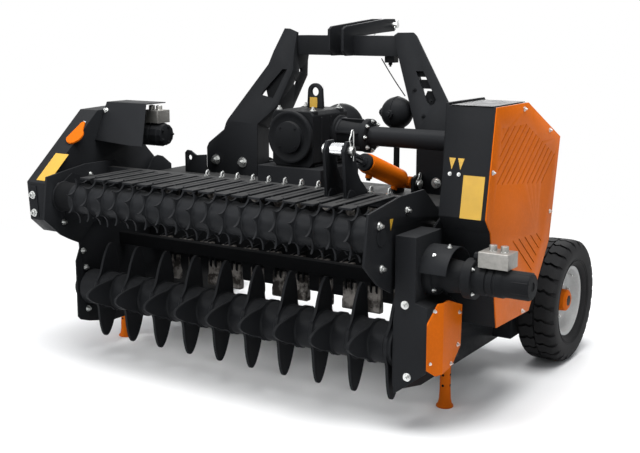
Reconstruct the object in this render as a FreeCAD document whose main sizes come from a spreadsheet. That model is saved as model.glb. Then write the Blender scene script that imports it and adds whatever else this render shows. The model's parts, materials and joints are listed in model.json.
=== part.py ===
import FreeCAD, Part
import math
import os
import re
import Sketcher

# Pick-up mulcher for orchard prunings, carried on a three-point linkage.
# Lengths in millimetres. X runs across the machine, Y from the pick-up side
# to the tractor side, Z up from the floor.

SIZES = {
    # where the machine stands in its frame
    "frame_x": -95,             # middle of the rotor housing, from the origin
    "frame_y": 3,               # datum of all Y sizes, from the origin
    "running_gap": 0.3,         # between a turning piece and what carries it
    # rotor housing
    "inner_width": 1490,        # between the two side plates
    "side_plate": 8,            # thickness of a side plate
    "sheet": 6,                 # thickness of hood and skirt sheets
    "floor_clearance": 110,     # side plates' lower edge above the floor
    "plate_front": -580,        # foremost corner of a side plate
    "plate_rear": 440,          # rearmost corner of a side plate
    "deck_top": 725,            # upper face of the hood
    "hood_front": -200,         # front lip of the hood
    "hood_back": 150,           # where the hood turns down
    "hood_slope": 150,          # run and fall of the hood's slanted band
    "hood_knee": 400,           # where the slanted rear wall turns down
    "rear_sill": 130,           # lower edge of the hood's rear wall
    "lug_x": -559,              # middle of the lug on the deck's left end
    "web_hole": 11,             # radius of the round holes in webs and lug
    # hammer rotor
    "rotor_y": -60,             # rotor axis
    "rotor_z": 455,             # rotor axis
    "rotor_tube": 85,           # radius of the rotor tube
    "rotor_flange": 70,         # radius of the rotor's bearing housings
    "rotor_flange_depth": 34,   # depth of the rotor's bearing housings
    "roller_flange": 56,        # radius of the pick-up roller's bearing housing
    "roller_flange_depth": 28,  # depth of the pick-up roller's bearing housing
    "hammer_radius": 215,       # hammer tips' circle
    "hammer_rows": 4,           # rows of hammers round the tube
    "hammer_count": 12,         # hammers in one row
    "hammer_pitch": 116,        # between hammers of one row
    "hammer_shift": 58,         # between neighbouring rows, along the tube
    "hammer_width": 60,         # width of one hammer
    "hammer_body": 24,          # thickness of a hammer
    "shaft_radius": 30,         # radius of rotor and roller shafts
    # lower pick-up roller
    "pickup_y": -504,           # pick-up roller axis
    "pickup_z": 290,            # pick-up roller axis
    "pickup_drum": 73,          # radius of the pick-up drum
    "tine_tip": 195,            # tine tips' circle
    "tine_count": 19,           # double claws on the drum, each a quarter turn from the last
    "tine_start": 101.5,        # left side plate to the first double claw
    "tine_end": 29.5,           # last double claw to the right side plate
    "tine_thick": 12,           # thickness of a double claw
    "claw_hub": 82,             # radius of a double claw's hub
    "claw_waist": 122,          # radius where a claw starts to narrow
    "claw_turn": 7.5,           # angle of the level claws above the intake side
    # upper feed roller
    "feed_y": -650,             # feed roller axis
    "feed_z": 693,              # feed roller axis
    "feed_drum": 58,            # radius of the feed drum
    "feed_tip": 100,            # tooth tips' circle
    "feed_disc": 8,             # thickness of a star disc
    "feed_count": 18,           # star discs on the drum
    "disc_start": 137,          # left side plate to the first star disc
    "disc_end": 91.6,           # last star disc to the right side plate
    "feed_teeth": 8,            # teeth on one star disc
    "feed_turn": -4.5,          # angle of one hollow above the intake side
    "scallop": 41,              # radius of the hollow between two teeth
    "scallop_ring": 107,        # radius of the ring on which the hollows' middles lie
    # swinging roller frame
    "pivot_y": -240,            # hinge of the roller frame
    "pivot_z": 660,             # hinge of the roller frame
    "pivot_pin": 20,            # radius of the hinge pins
    "arm_gap": 8,               # between an arm and the side plate
    "arm_plate": 10,            # thickness of an arm
    "comb_top": 783,            # upper face of the comb's slats
    "comb_plate": 8,            # thickness of the comb's slats
    "comb_rear": -365,          # rear edge of the comb's rail
    "slat_width": 52,           # width of a slat
    "case_width": 100,          # width of the feed roller's chain case
    "case_gap": 6,              # between the chain case and the side plate
    "case_top": 1050,           # upper edge of the chain case's motor guard
    "case_hub": 52,             # radius of the feed roller's bearing hub
    "feed_motor_y": -280,       # axis of the feed roller's motor
    "feed_motor_z": 920,        # axis of the feed roller's motor
    "feed_motor_radius": 48,    # radius of the feed roller's motor
    "feed_motor_length": 262,   # length of the feed roller's motor
    "feed_valve_x": -600,       # inner end of the valve on that motor
    "guard_front": -438,        # lower front edge of the motor guard
    "guard_end": -491,          # right end of the motor guard
    "fork_x": 486,              # middle of the cylinder's fork
    "fork_inner": 66,           # between the fork's plates
    "fork_plate": 12,           # thickness of a fork plate
    "fork_pin_y": -510,         # pin of the cylinder's rod eye
    "fork_pin_z": 946,          # pin of the cylinder's rod eye
    "fork_pin": 14,             # radius of the fork's pin
    # hydraulic cylinder
    "base_pin_y": -15,          # pin of the cylinder's barrel eye
    "base_pin_z": 770,          # pin of the cylinder's barrel eye
    "base_pin": 14,             # radius of the barrel's pin
    "barrel_radius": 37,        # outer radius of the barrel
    "barrel_length": 330,       # from the base pin to the gland
    "barrel_base": 60,          # from the base pin to the barrel's bottom
    "rod_radius": 17,           # radius of the piston rod
    "rod_start": 130,           # from the base pin to the rod's inner end
    "eye_radius": 24,           # outer radius of both eyes
    "eye_drift": 1.5,           # play of the rod's eye on its pin
    "eye_width": 50,            # width of both eyes
    # headstock
    "hitch_x": 118,             # middle of the headstock
    "beam_low": 1243,           # lower face of the top beam
    "beam_size": 80,            # side of the top beam
    "beam_front": 128,          # front face of the top beam
    "beam_low_left": 247,       # left end of the beam's lower edge, from the middle
    "beam_top_left": 244,       # left end of its upper edge
    "beam_top_right": 233,      # right end of its upper edge
    "beam_low_right": 259,      # right end of its lower edge
    "leg_front": 30,            # front face of a leg at its foot
    "leg_plate": 12,            # thickness of the legs' plates
    "leg_depth": 90,            # depth of the legs' feet
    "lean": 14,                 # angle of the legs' leaning part
    "lean_low": 950,            # height where the legs start to lean
    "foot_outer": 658,          # outer edge of a leg's foot, from the middle
    "foot_inner": 384,          # inner edge of a leg's foot, from the middle
    "left_web": 112,            # depth of the left leg's inner web
    "right_web": 150,           # depth of the right leg's inner web
    "web_hole_high": 1176,      # upper hole in both webs
    "web_hole_low": 1124,       # lower hole in both webs
    "link_front": 50,           # front edge of the top link plates
    "top_pin_y": 460,           # top link pin
    "top_pin_z": 1364,          # top link pin
    "top_pin": 12.7,            # radius of the top link pin
    "top_inner": 52,            # between the top link plates
    "link_plate": 12,           # thickness of link plates
    "lower_spread": 825,        # between the middles of the lower hitch forks
    "lower_pin_y": 470,         # lower hitch pins
    "lower_pin_z": 640,         # lower hitch pins
    "lower_pin": 14.5,          # radius of the lower hitch bores
    "lower_inner": 62,          # between the plates of a lower hitch fork
    # gearbox and drive line
    "box_front": -250,          # front face of the gearbox
    "box_rear": 0,              # rear face of the gearbox
    "box_width": 190,           # width of the gearbox
    "platform_front": -285,     # front face of the gearbox platform
    "platform_width": 294,      # width of the gearbox platform
    "platform_height": 105,     # height of the gearbox platform
    "shaft_z": 945,             # height of the drive line
    "cover_radius": 100,        # radius of the gearbox cover
    "cover_depth": 22,          # depth of the gearbox cover
    "tube_radius": 37.5,        # radius of the drive tube
    "tube_flange": 66,          # radius of the tube's flange
    "tube_y": -60,              # axis of the drive tube
    "pto_radius": 17.5,         # radius of the splined input shaft
    "pto_length": 140,          # length of the input shaft beyond the gearbox
    "neck_radius": 46,          # radius of the gearbox neck round the shaft
    "guard_radius": 105,        # mouth of the input shaft's guard
    "guard_neck": 88,           # that guard's radius at the gearbox
    "guard_length": 118,        # length of that guard
    "eye_y": -102,              # front face of the lifting eye
    "eye_z": 1109,              # hole of the lifting eye
    "eye_outer": 33,            # outer radius of the lifting eye
    "eye_bore": 17,             # radius of the lifting eye's hole
    "eye_plate": 15,            # thickness of the lifting eye
    "accumulator_x": 385,       # middle of the gas damper
    "accumulator_y": 85,        # middle of the gas damper
    "accumulator_z": 1025,      # middle of the gas damper
    "dome_radius": 64,          # radius of the gas damper
    "post_radius": 20,          # radius of the gas damper's post
    # belt guard
    "belt_inner": 830,          # inner face of the belt guard
    "belt_outer": 1000,         # outer face of the belt guard's shell
    "belt_sheet": 4,            # thickness of the belt guard's sheets
    "lip_depth": 12,            # width of the flange round the guard's inner face
    "belt_y": -99,              # upper rear corner of the belt guard's outline
    "belt_top": 1104,           # upper edge of the belt guard
    "louvre_count": 14,         # slots in the panel's upper group
    "louvre_long": 4,           # slots up to the group's widest line
    "louvre_pitch": 31,         # between slots of the upper group
    "louvre_width": 4.5,          # width of a slot
    "louvre_angle": 37,         # slope of the slots
    "louvre_line": -52,         # the widest line's distance from the corner
    "louvre_low": -355,         # that line's lower end, along the slope
    "louvre_high": -55,         # that line's upper end, along the slope
    "lower_louvres": 5,         # slots in the panel's lower group
    "lower_line": -436,         # the lower group's first line from the corner
    "lower_low": 207,           # that line's upper end, along the slope
    "lower_pitch": 31,          # between slots of the lower group
    "lower_step": 46,           # between their upper ends, along the slope
    "lower_length": 236,        # length of the lower group's first slot
    "lower_taper": 44,          # how much shorter each next slot is
    # pick-up drive
    "motor_y": -470,            # axis of the pick-up roller's motor
    "motor_z": 551,             # axis of the pick-up roller's motor
    "motor_radius": 50,         # radius of the motor's body
    "motor_flange": 68,         # radius of the motor's disc
    "motor_mount": 964,         # inner face of the motor's disc
    "motor_end": 1190,          # outer end of the motor
    "valve_height": 52,         # height of the valves on both motors
    "port_radius": 13,          # radius of the valves' hose ports
    "plug_radius": 15,          # radius of the valve's plug
    "drive_plate": 830,         # outer face of the chain case's upper part
    "drive_box": 905,           # outer face of the chain case's lower part
    "case_front": -584,         # front face of the chain case
    "case_depth": 184,          # depth of the chain case
    "case_low": 140,            # lower edge of the chain case
    "case_high": 690,           # upper edge of the chain case
    "case_step": 440,           # where the lower part draws in
    "shield_radius": 100,       # radius of the motor's rain shield
    "shield_length": 100,       # length of the motor's rain shield
    # wheels and parking legs
    "wheel_x": 920,             # middle of a wheel
    "wheel_y": 497,             # wheel axis
    "wheel_radius": 252,        # outer radius of a tyre
    "tyre_width": 160,          # width of a tyre
    "shoulder": 24,             # chamfer of a tyre's shoulders
    "rim_radius": 145,          # radius of a rim
    "rim_width": 110,           # width of a rim
    "dish_depth": 38,           # depth of a rim's dish
    "hub_radius": 46,           # radius of a wheel's hub
    "axle_radius": 22,          # radius of a wheel's axle
    "parking_x": 790,           # middle of a parking leg
    "parking_y": -260,          # middle of a parking leg
    "parking_radius": 20,       # radius of a parking leg's tube
    "socket_low": 200,          # lower end of a parking leg's sleeve
    "socket_height": 150,       # height of a parking leg's sleeve
    "foot_radius": 32,          # radius of a parking leg's foot
    "foot_flare": 70,           # height of the foot's flare
}

doc = FreeCAD.newDocument("pickup_mulcher")
sizes = doc.addObject("Spreadsheet::Sheet", "Sizes")
aliases = list(SIZES)
sizes.set("A1", "name")
sizes.set("B1", "value")
for row, (alias, value) in enumerate(SIZES.items(), start=2):
    sizes.set(f"A{row}", alias)
    sizes.set(f"B{row}", str(value))
    sizes.setAlias(f"B{row}", alias)
doc.recompute()

nodes = {}


def full(expression):
    """Point each alias in an expression at the sheet."""
    def point(word):
        return "Sizes." + word.group() if word.group() in aliases else word.group()
    return re.sub(r"[a-z_][a-z_0-9]*", point, str(expression))


def bind(thing, prop, expression):
    thing.setExpression(prop, full(expression))


def whole(alias):
    """A count from the sheet."""
    return int(sizes.get(alias))


def box(label, x, y, z):
    """A block given by its two ends along each axis."""
    block = doc.addObject("Part::Box", label)
    for axis, side, (low, high) in zip("xyz", ("Length", "Width", "Height"), (x, y, z)):
        bind(block, f"Placement.Base.{axis}", low)
        bind(block, side, f"({high}) - ({low})")
    return block


TURNS = {
    "X": FreeCAD.Rotation(FreeCAD.Vector(0, 1, 0), 90),
    "Y": FreeCAD.Rotation(FreeCAD.Vector(1, 0, 0), -90),
    "Z": FreeCAD.Rotation(),
}


def rod(label, axis, start, radius, length, top=None):
    """A round bar from a point along an axis; top makes it a cone."""
    kind = "Part::Cone" if top else "Part::Cylinder"
    bar = doc.addObject(kind, label)
    bar.Placement.Rotation = TURNS[axis]
    for place, value in zip("xyz", start):
        bind(bar, f"Placement.Base.{place}", value)
    if top:
        bind(bar, "Radius1", radius)
        bind(bar, "Radius2", top)
    else:
        bind(bar, "Radius", radius)
    bind(bar, "Height", length)
    return bar


PLANES = {"X": "YZ_Plane", "Y": "XZ_Plane", "Z": "XY_Plane"}


def plate(label, normal, span, outline, holes=()):
    """A flat plate: a padded sketch, spanning low to high along its normal."""
    low, high = span
    body = doc.addObject("PartDesign::Body", label)
    sketch = body.newObject("Sketcher::SketchObject", label + "_outline")
    plane = next(p for p in body.Origin.OriginFeatures if p.Role == PLANES[normal])
    sketch.AttachmentSupport = [(plane, "")]
    sketch.MapMode = "FlatFace"
    offset = f"-({high})" if normal == "Y" else low
    bind(sketch, "AttachmentOffset.Base.z", offset)
    rough = [FreeCAD.Vector(math.cos(2 * math.pi * k / len(outline)),
                            math.sin(2 * math.pi * k / len(outline)), 0)
             for k in range(len(outline))]
    for k, corner in enumerate(rough):
        sketch.addGeometry(Part.LineSegment(rough[k - 1], corner))
    for k in range(len(outline)):
        after = (k + 1) % len(outline)
        sketch.addConstraint(Sketcher.Constraint("Coincident", k, 2, after, 1))
    for k, point in enumerate(outline):
        for kind, value in zip(("DistanceX", "DistanceY"), point):
            index = sketch.addConstraint(Sketcher.Constraint(kind, -1, 1, k, 2, 1.0))
            bind(sketch, f"Constraints[{index}]", value)
    for across, up, radius in holes:
        ring = sketch.addGeometry(Part.Circle(FreeCAD.Vector(0, 0, 0), FreeCAD.Vector(0, 0, 1), 1))
        for kind, value in (("DistanceX", across), ("DistanceY", up)):
            index = sketch.addConstraint(Sketcher.Constraint(kind, -1, 1, ring, 3, 1.0))
            bind(sketch, f"Constraints[{index}]", value)
        index = sketch.addConstraint(Sketcher.Constraint("Radius", ring, 1.0))
        bind(sketch, f"Constraints[{index}]", radius)
    pad = body.newObject("PartDesign::Pad", label + "_pad")
    pad.Profile = sketch
    bind(pad, "Length", f"({high}) - ({low})")
    return body


def fuse(label, pieces):
    joined = doc.addObject("Part::MultiFuse", label)
    joined.Shapes = pieces
    return joined


def cut(label, base, tools):
    tool = tools[0] if len(tools) == 1 else fuse(label + "_tools", tools)
    rest = doc.addObject("Part::Cut", label)
    rest.Base = base
    rest.Tool = tool
    return rest


def common(label, pieces):
    """What several bodies share."""
    shared = doc.addObject("Part::MultiCommon", label)
    shared.Shapes = pieces
    return shared


def inset(label, body, wall, depth):
    """The room inside a plate's outline, one wall in from its rim and its first face."""
    inner = doc.addObject("Part::Offset2D", label + "_outline")
    inner.Source = body.Tip.Profile[0]
    inner.Join = 2
    bind(inner, "Value", f"-{wall}")
    room = doc.addObject("Part::Extrusion", label)
    room.Base = inner
    room.DirMode = "Custom"
    room.Dir = FreeCAD.Vector(1, 0, 0)
    room.Solid = True
    bind(room, "LengthFwd", depth)
    bind(room, "Placement.Base.x", wall)
    return room


def group(label, pieces):
    """Like solids that don't touch, kept in one node."""
    together = doc.addObject("Part::Compound", label)
    together.Links = pieces
    return together


def sorted_ends(sign, near, far):
    """Two ends along X, lower first, for a side given by its sign."""
    return (near, far) if sign > 0 else (far, near)


def node(name, thing):
    """Name a finished piece and set it in the machine's frame."""
    if thing.TypeId in ("Part::Box", "Part::Cylinder", "Part::Cone"):
        thing = group(name, [thing])
    thing.Label = name
    bind(thing, "Placement.Base.x", "frame_x")
    bind(thing, "Placement.Base.y", "frame_y")
    nodes[name] = thing
    return thing


# ---- rotor housing --------------------------------------------------------

SIDE_OUTLINE = (
    ("plate_front + 25", "460"), ("plate_front + 2", "410"), ("plate_front", "172"),
    ("plate_front + 14", "156"), ("plate_front + 60", "140"), ("plate_front + 200", "floor_clearance"),
    ("plate_rear - 40", "floor_clearance"), ("plate_rear", "rear_sill"),
    ("plate_rear - 10", "hood_knee"), ("hood_back + hood_slope", "deck_top - hood_slope"),
    ("hood_back", "deck_top"), ("leg_front - 5", "deck_top"), ("leg_front - 5", "deck_top + 22"),
    ("hood_back - 180", "deck_top + 62"), ("hood_back - 212", "deck_top + 70"),
    ("hood_back - 245", "deck_top + 62"), ("hood_back - 280", "deck_top + 14"),
    ("hood_front", "deck_top"),
    ("pivot_y - 90", "pivot_z - 10"), ("pivot_y - 200", "pivot_z - 60"),
    ("plate_front + 22", "505"),
)


def side_plate(side, sign):
    span = sorted_ends(sign, f"{sign} * inner_width / 2", f"{sign} * (inner_width / 2 + side_plate)")
    holes = (
        ("rotor_y", "rotor_z", "shaft_radius + running_gap"),
        ("pickup_y", "pickup_z", "shaft_radius + running_gap"),
    )
    node(side + "_side_plate", plate(side + "_side_plate", "X", span, SIDE_OUTLINE, holes))


def rotor_hood():
    span = ("-inner_width / 2", "inner_width / 2")
    outline = (
        ("hood_front", "deck_top"), ("hood_back", "deck_top"),
        ("hood_back + hood_slope", "deck_top - hood_slope"), ("plate_rear - 10", "hood_knee"),
        ("plate_rear", "rear_sill"), ("plate_rear - sheet", "rear_sill"),
        ("plate_rear - 10 - sheet", "hood_knee"),
        ("hood_back + hood_slope - sheet", "deck_top - hood_slope - sheet"),
        ("hood_back - sheet", "deck_top - sheet"), ("hood_front", "deck_top - sheet"),
    )
    node("rotor_hood", plate("rotor_hood", "X", span, outline))


def counter_blade():
    bar = box("counter_blade_bar", ("-inner_width / 2", "inner_width / 2"),
              ("rotor_y - hammer_radius - 50", "rotor_y - hammer_radius - 15"),
              ("rotor_z - 15", "rotor_z + 35"))
    node("counter_blade", bar)


def bearings():
    """Flanged housings of rotor and pick-up roller on the side plates."""
    rings = []
    for side, sign in (("left", -1), ("right", 1)):
        for name, y, z, radius, depth in (
            ("rotor", "rotor_y", "rotor_z", "rotor_flange", "rotor_flange_depth"),
            ("pickup", "pickup_y", "pickup_z", "roller_flange", "roller_flange_depth"),
        ):
            if side == "right" and name == "pickup":
                continue
            face = f"{sign} * (inner_width / 2 + side_plate)"
            start = face if sign > 0 else f"{face} - {depth}"
            label = f"{side}_{name}_bearing"
            housing = rod(label, "X", (start, y, z), radius, depth)
            bore = rod(label + "_bore", "X", (f"{start} - 5", y, z),
                       "shaft_radius + running_gap", f"{depth} + 10")
            rings.append(cut(label + "_ring", housing, [bore]))
    node("bearing_housings", group("bearing_housings", rings))


def cross_tube():
    tube = box("cross_tube_bar", ("-inner_width / 2", "inner_width / 2"),
               ("plate_rear - 80", "plate_rear - 20"), ("rear_sill + 70", "rear_sill + 130"))
    node("rear_cross_tube", tube)


# ---- headstock ------------------------------------------------------------

def headstock_leg(side, sign, outer, inner, slot, depth, holes):
    """An upright foot, a front plate leaning back from it and a web along its inner edge."""
    name = f"headstock_{side}_leg"

    def across(distance):
        return f"hitch_x + ({sign}) * ({distance})"

    def leaning(points):
        return tuple((across(out), f"({up} - lean_low) / cos(lean)") for out, up in points)

    def lean_back(thing):
        thing.Placement.Rotation = FreeCAD.Rotation(FreeCAD.Vector(-1, 0, 0), 0)
        bind(thing, "Placement.Rotation.Angle", "lean")
        bind(thing, "Placement.Base.y", "leg_front")
        bind(thing, "Placement.Base.z", "lean_low")
        return thing

    foot = plate(name + "_foot", "Y", ("leg_front", "leg_front + leg_plate"), [
        (across(out), up) for out, up in (
            ("foot_outer", "deck_top"), ("foot_outer", "deck_top + 110"),
            ("foot_outer - 12", "deck_top + 132"), ("foot_outer - 98", "deck_top + 194"),
            (outer[0][0], "lean_low"), (inner[0][0], "lean_low"), ("foot_inner", "deck_top"),
        )])
    front = lean_back(plate(name + "_front", "Y", ("0", "leg_plate"), leaning(outer + inner[::-1])))
    opening = lean_back(plate(name + "_slot", "Y", ("-5", "leg_plate + 5"), leaning(slot)))
    edge = [(f"{out} + leg_plate", up) for out, up in inner]
    web = lean_back(plate(name + "_web", "Y", ("leg_plate", depth), leaning(tuple(inner) + tuple(edge[::-1]))))
    rear = box(name + "_rear", sorted_ends(sign, across("foot_inner"), across("foot_inner + leg_plate")),
               ("leg_front + leg_plate", "leg_front + leg_depth"), ("deck_top", "lean_low"))
    start = across("foot_inner + leg_plate + 60") if sign < 0 else across(0)
    bores = [rod(f"{name}_bore_{index}", "X", (start, y, z), "web_hole", "foot_inner + leg_plate + 60")
             for index, (y, z) in enumerate(holes)]
    whole_leg = fuse(name + "_plates", [foot, front, web, rear])
    node(name, cut(name, whole_leg, [opening] + bores))
    return whole_leg


def top_beam(legs):
    """The bar between the legs' webs, cut to meet them."""
    bar = plate("top_beam_bar", "Y", ("beam_front", "beam_front + beam_size"), (
        ("hitch_x - beam_low_left", "beam_low"), ("hitch_x - beam_top_left", "beam_low + beam_size"),
        ("hitch_x + beam_top_right", "beam_low + beam_size"), ("hitch_x + beam_low_right", "beam_low"),
    ))
    stop = box("beam_stop", ("hitch_x + beam_low_right - 88", "hitch_x + beam_low_right - 46"),
               ("beam_front + 20", "beam_front + 60"), ("beam_low - 26", "beam_low"))
    node("top_beam", cut("top_beam", fuse("beam_body", [bar, stop]), legs))


def top_link():
    outline = (
        ("link_front", "beam_low + 20"), ("link_front", "top_pin_z - 16"),
        ("link_front + 20", "top_pin_z - 4"), ("top_pin_y - 70", "top_pin_z + 26"),
        ("top_pin_y + 10", "top_pin_z + 26"), ("top_pin_y + 28", "top_pin_z"),
        ("top_pin_y + 8", "top_pin_z - 26"), ("beam_front + beam_size + 130", "beam_low + beam_size + 8"),
        ("beam_front + beam_size + 20", "beam_low + beam_size"),
        ("beam_front", "beam_low + beam_size"), ("beam_front", "beam_low"),
        ("link_front + 25", "beam_low"),
    )
    pieces = []
    for side, sign in (("left", -1), ("right", 1)):
        near = f"hitch_x + ({sign}) * top_inner / 2"
        far = f"hitch_x + ({sign}) * (top_inner / 2 + link_plate)"
        hole = ("top_pin_y", "top_pin_z", "top_pin")
        pieces.append(plate(f"top_link_{side}_plate", "X", sorted_ends(sign, near, far), outline, [hole]))
    node("top_link_bracket", group("top_link_bracket", pieces))
    pin = rod("top_link_pin_bar", "X", ("hitch_x - top_inner / 2 - link_plate - 20", "top_pin_y",
                                        "top_pin_z"), "top_pin", "top_inner + 2 * link_plate + 40")
    node("top_link_pin", pin)


def deck_lug():
    outline = (
        ("lug_x - 62", "deck_top"), ("lug_x - 62", "deck_top + 86"), ("lug_x - 50", "deck_top + 98"),
        ("lug_x - 30", "deck_top + 96"), ("lug_x", "deck_top + 78"), ("lug_x + 56", "deck_top + 84"),
        ("lug_x + 56", "deck_top"),
    )
    hole = ("lug_x - 34", "deck_top + 66", "web_hole")
    node("deck_lug", plate("deck_lug", "Y", ("leg_front - 55", "leg_front - 45"), outline, [hole]))


def lower_hitch(side, sign):
    """Two plates on the hood's rear wall that take a lower link's ball."""
    middle = f"hitch_x + ({sign}) * lower_spread / 2"
    outline = (
        ("hood_back", "deck_top"), ("hood_back + 150", "deck_top - 150"),
        ("plate_rear - 60", "deck_top - 230"), ("lower_pin_y + 10", "lower_pin_z - 40"),
        ("lower_pin_y + 40", "lower_pin_z"), ("lower_pin_y + 10", "lower_pin_z + 40"),
        ("hood_back + 60", "deck_top + 60"), ("hood_back - 40", "deck_top + 60"),
        ("hood_back - 40", "deck_top"),
    )
    plates = []
    for index, shift in enumerate((-1, 1)):
        span = sorted_ends(shift, f"{middle} + ({shift}) * lower_inner / 2",
                           f"{middle} + ({shift}) * (lower_inner / 2 + link_plate)")
        hole = ("lower_pin_y", "lower_pin_z", "lower_pin")
        plates.append(plate(f"{side}_hitch_plate_{index}", "X", span, outline, [hole]))
    node(f"{side}_lower_hitch", group(f"{side}_lower_hitch", plates))


# ---- gearbox and drive line -----------------------------------------------

def gearbox():
    platform = box("platform_block", ("hitch_x - platform_width / 2", "hitch_x + platform_width / 2"),
                   ("platform_front", "box_rear - 10"), ("deck_top", "deck_top + platform_height"))
    node("gearbox_platform", platform)
    housing = box("gearbox_block", ("hitch_x - box_width / 2", "hitch_x + box_width / 2"),
                  ("box_front", "box_rear"), ("deck_top + platform_height", "shaft_z + cover_radius"))
    cover = rod("gearbox_cover", "Y", ("hitch_x", "box_front - cover_depth", "shaft_z"), "cover_radius", "cover_depth")
    boss = rod("gearbox_boss", "Y", ("hitch_x", "box_front - cover_depth - 12", "shaft_z"), "cover_radius * 0.6", 12)
    shaft = rod("gearbox_input", "Y", ("hitch_x", "box_rear", "shaft_z"), "pto_radius", "pto_length")
    neck = rod("gearbox_neck", "Y", ("hitch_x", "box_rear", "shaft_z"), "neck_radius", 40)
    node("gearbox", fuse("gearbox", [housing, cover, boss, shaft, neck]))
    ring = rod("eye_ring", "Y", ("hitch_x", "eye_y", "eye_z"), "eye_outer", "eye_plate")
    stem = plate("eye_stem", "Y", ("eye_y", "eye_y + eye_plate"), (
        ("hitch_x - eye_outer - 4", "shaft_z + cover_radius"), ("hitch_x - eye_outer", "eye_z"),
        ("hitch_x + eye_outer", "eye_z"), ("hitch_x + eye_outer + 4", "shaft_z + cover_radius"),
    ))
    hole = rod("eye_hole", "Y", ("hitch_x", "eye_y - 2", "eye_z"), "eye_bore", "eye_plate + 4")
    node("lifting_eye", cut("lifting_eye", fuse("eye_body", [ring, stem]), [hole]))
    outer = rod("guard_outer", "Y", ("hitch_x", "box_rear", "shaft_z"), "guard_neck",
                "guard_length", "guard_radius")
    inner = rod("guard_inner", "Y", ("hitch_x", "box_rear - 1", "shaft_z"), "guard_neck - 5",
                "guard_length + 3", "guard_radius - 5")
    node("shaft_guard", cut("shaft_guard", outer, [inner]))


def drive_tube():
    start = "hitch_x + box_width / 2"
    flange = rod("tube_flange", "X", (start, "tube_y", "shaft_z"), "tube_flange", 24)
    tube = rod("tube_bar", "X", (start, "tube_y", "shaft_z"), "tube_radius", f"belt_inner - lip_depth - ({start})")
    node("drive_tube", fuse("drive_tube", [flange, tube]))


BELT_OUTLINE = (
    ("belt_y - 270", "belt_top"), ("belt_y", "belt_top"), ("belt_y + 329", "belt_top - 148"),
    ("belt_y + 257", "belt_top - 530"), ("belt_y + 79", "belt_top - 766"),
    ("belt_y - 215", "belt_top - 758"), ("belt_y - 288", "belt_top - 414"),
    ("belt_y - 330", "belt_top - 364"),
)


def louvre(label, angle, across, low, high):
    """A slot cutter for the panel: its line's offset across, and its ends along, the slot's way."""
    def point(along, side):
        return (f"belt_y + ({along}) * cos({angle}) - ({across} + ({side}) * louvre_width / 2) * sin({angle})",
                f"belt_top + ({along}) * sin({angle}) + ({across} + ({side}) * louvre_width / 2) * cos({angle})")
    corners = (point(low, -1), point(high, -1), point(high, 1), point(low, 1))
    return plate(label, "X", ("belt_outer - 1", "belt_outer + belt_sheet + 1"), corners)


def belt_guard():
    block = plate("guard_block", "X", ("belt_inner", "belt_outer"), BELT_OUTLINE)
    hollow = inset("guard_hollow", block, "belt_sheet", "belt_outer - belt_inner")
    lip = plate("guard_lip", "X", ("belt_inner - lip_depth", "belt_inner"), (
        ("belt_y - 290", "belt_top - 330"), ("belt_y - 266", "belt_top + 10"),
        ("belt_y + 20", "belt_top + 10"), ("belt_y + 44", "belt_top - 14"),
        ("belt_y + 44", "belt_top - 330"),
    ))
    node("belt_guard", fuse("belt_guard", [cut("guard_shell", block, [hollow]), lip]))
    panel = plate("guard_panel", "X", ("belt_outer", "belt_outer + belt_sheet"), BELT_OUTLINE)
    slots = []
    for index in range(whole("louvre_count")):
        step = f"({index} - louvre_long) * louvre_pitch"
        if index < whole("louvre_long"):
            low, high = f"louvre_low - 1.1 * {step}", f"louvre_high + 1.3 * {step}"
        else:
            low, high = f"louvre_low + 1.05 * {step}", f"louvre_high + 0.53 * {step}"
        slots.append(louvre(f"upper_louvre_{index}", "louvre_angle", f"(louvre_line - {step})", low, high))
    for index in range(whole("lower_louvres")):
        start = f"(lower_low + {index} * lower_step)"
        slots.append(louvre(f"lower_louvre_{index}", "-louvre_angle", f"(lower_line + {index} * lower_pitch)",
                            start, f"{start} + (lower_length - {index} * lower_taper)"))
    node("belt_guard_panel", cut("belt_guard_panel", panel, slots))
    carrier = box("guard_carrier_block", ("inner_width / 2 + side_plate", "belt_inner - lip_depth"),
                  ("rotor_y + 90", "rotor_y + 200"), ("rotor_z - 100", "rotor_z + 250"))
    node("belt_guard_carrier", carrier)


def accumulator():
    """The cylinder's gas damper, on a bracket of the hood beside the right leg."""
    dome = doc.addObject("Part::Sphere", "accumulator_dome")
    centre = ("accumulator_x", "accumulator_y", "accumulator_z")
    for place, value in zip("xyz", centre):
        bind(dome, f"Placement.Base.{place}", value)
    bind(dome, "Radius", "dome_radius")
    post = rod("accumulator_post", "Z", (centre[0], centre[1], "deck_top"), "post_radius",
               "accumulator_z - deck_top")
    nozzle = rod("accumulator_nozzle", "X", ("accumulator_x - dome_radius - 14", centre[1], centre[2]),
                 "post_radius * 0.7", "dome_radius")
    node("accumulator", fuse("accumulator", [dome, post, nozzle]))


# ---- pick-up roller and its drive -------------------------------------------

def spread(index, count, start, end):
    """The middle of one of many pieces spread evenly between the side plates."""
    return f"(-inner_width / 2 + {start} + ({index}) * (inner_width - {start} - {end}) / ({count} - 1))"


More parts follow.
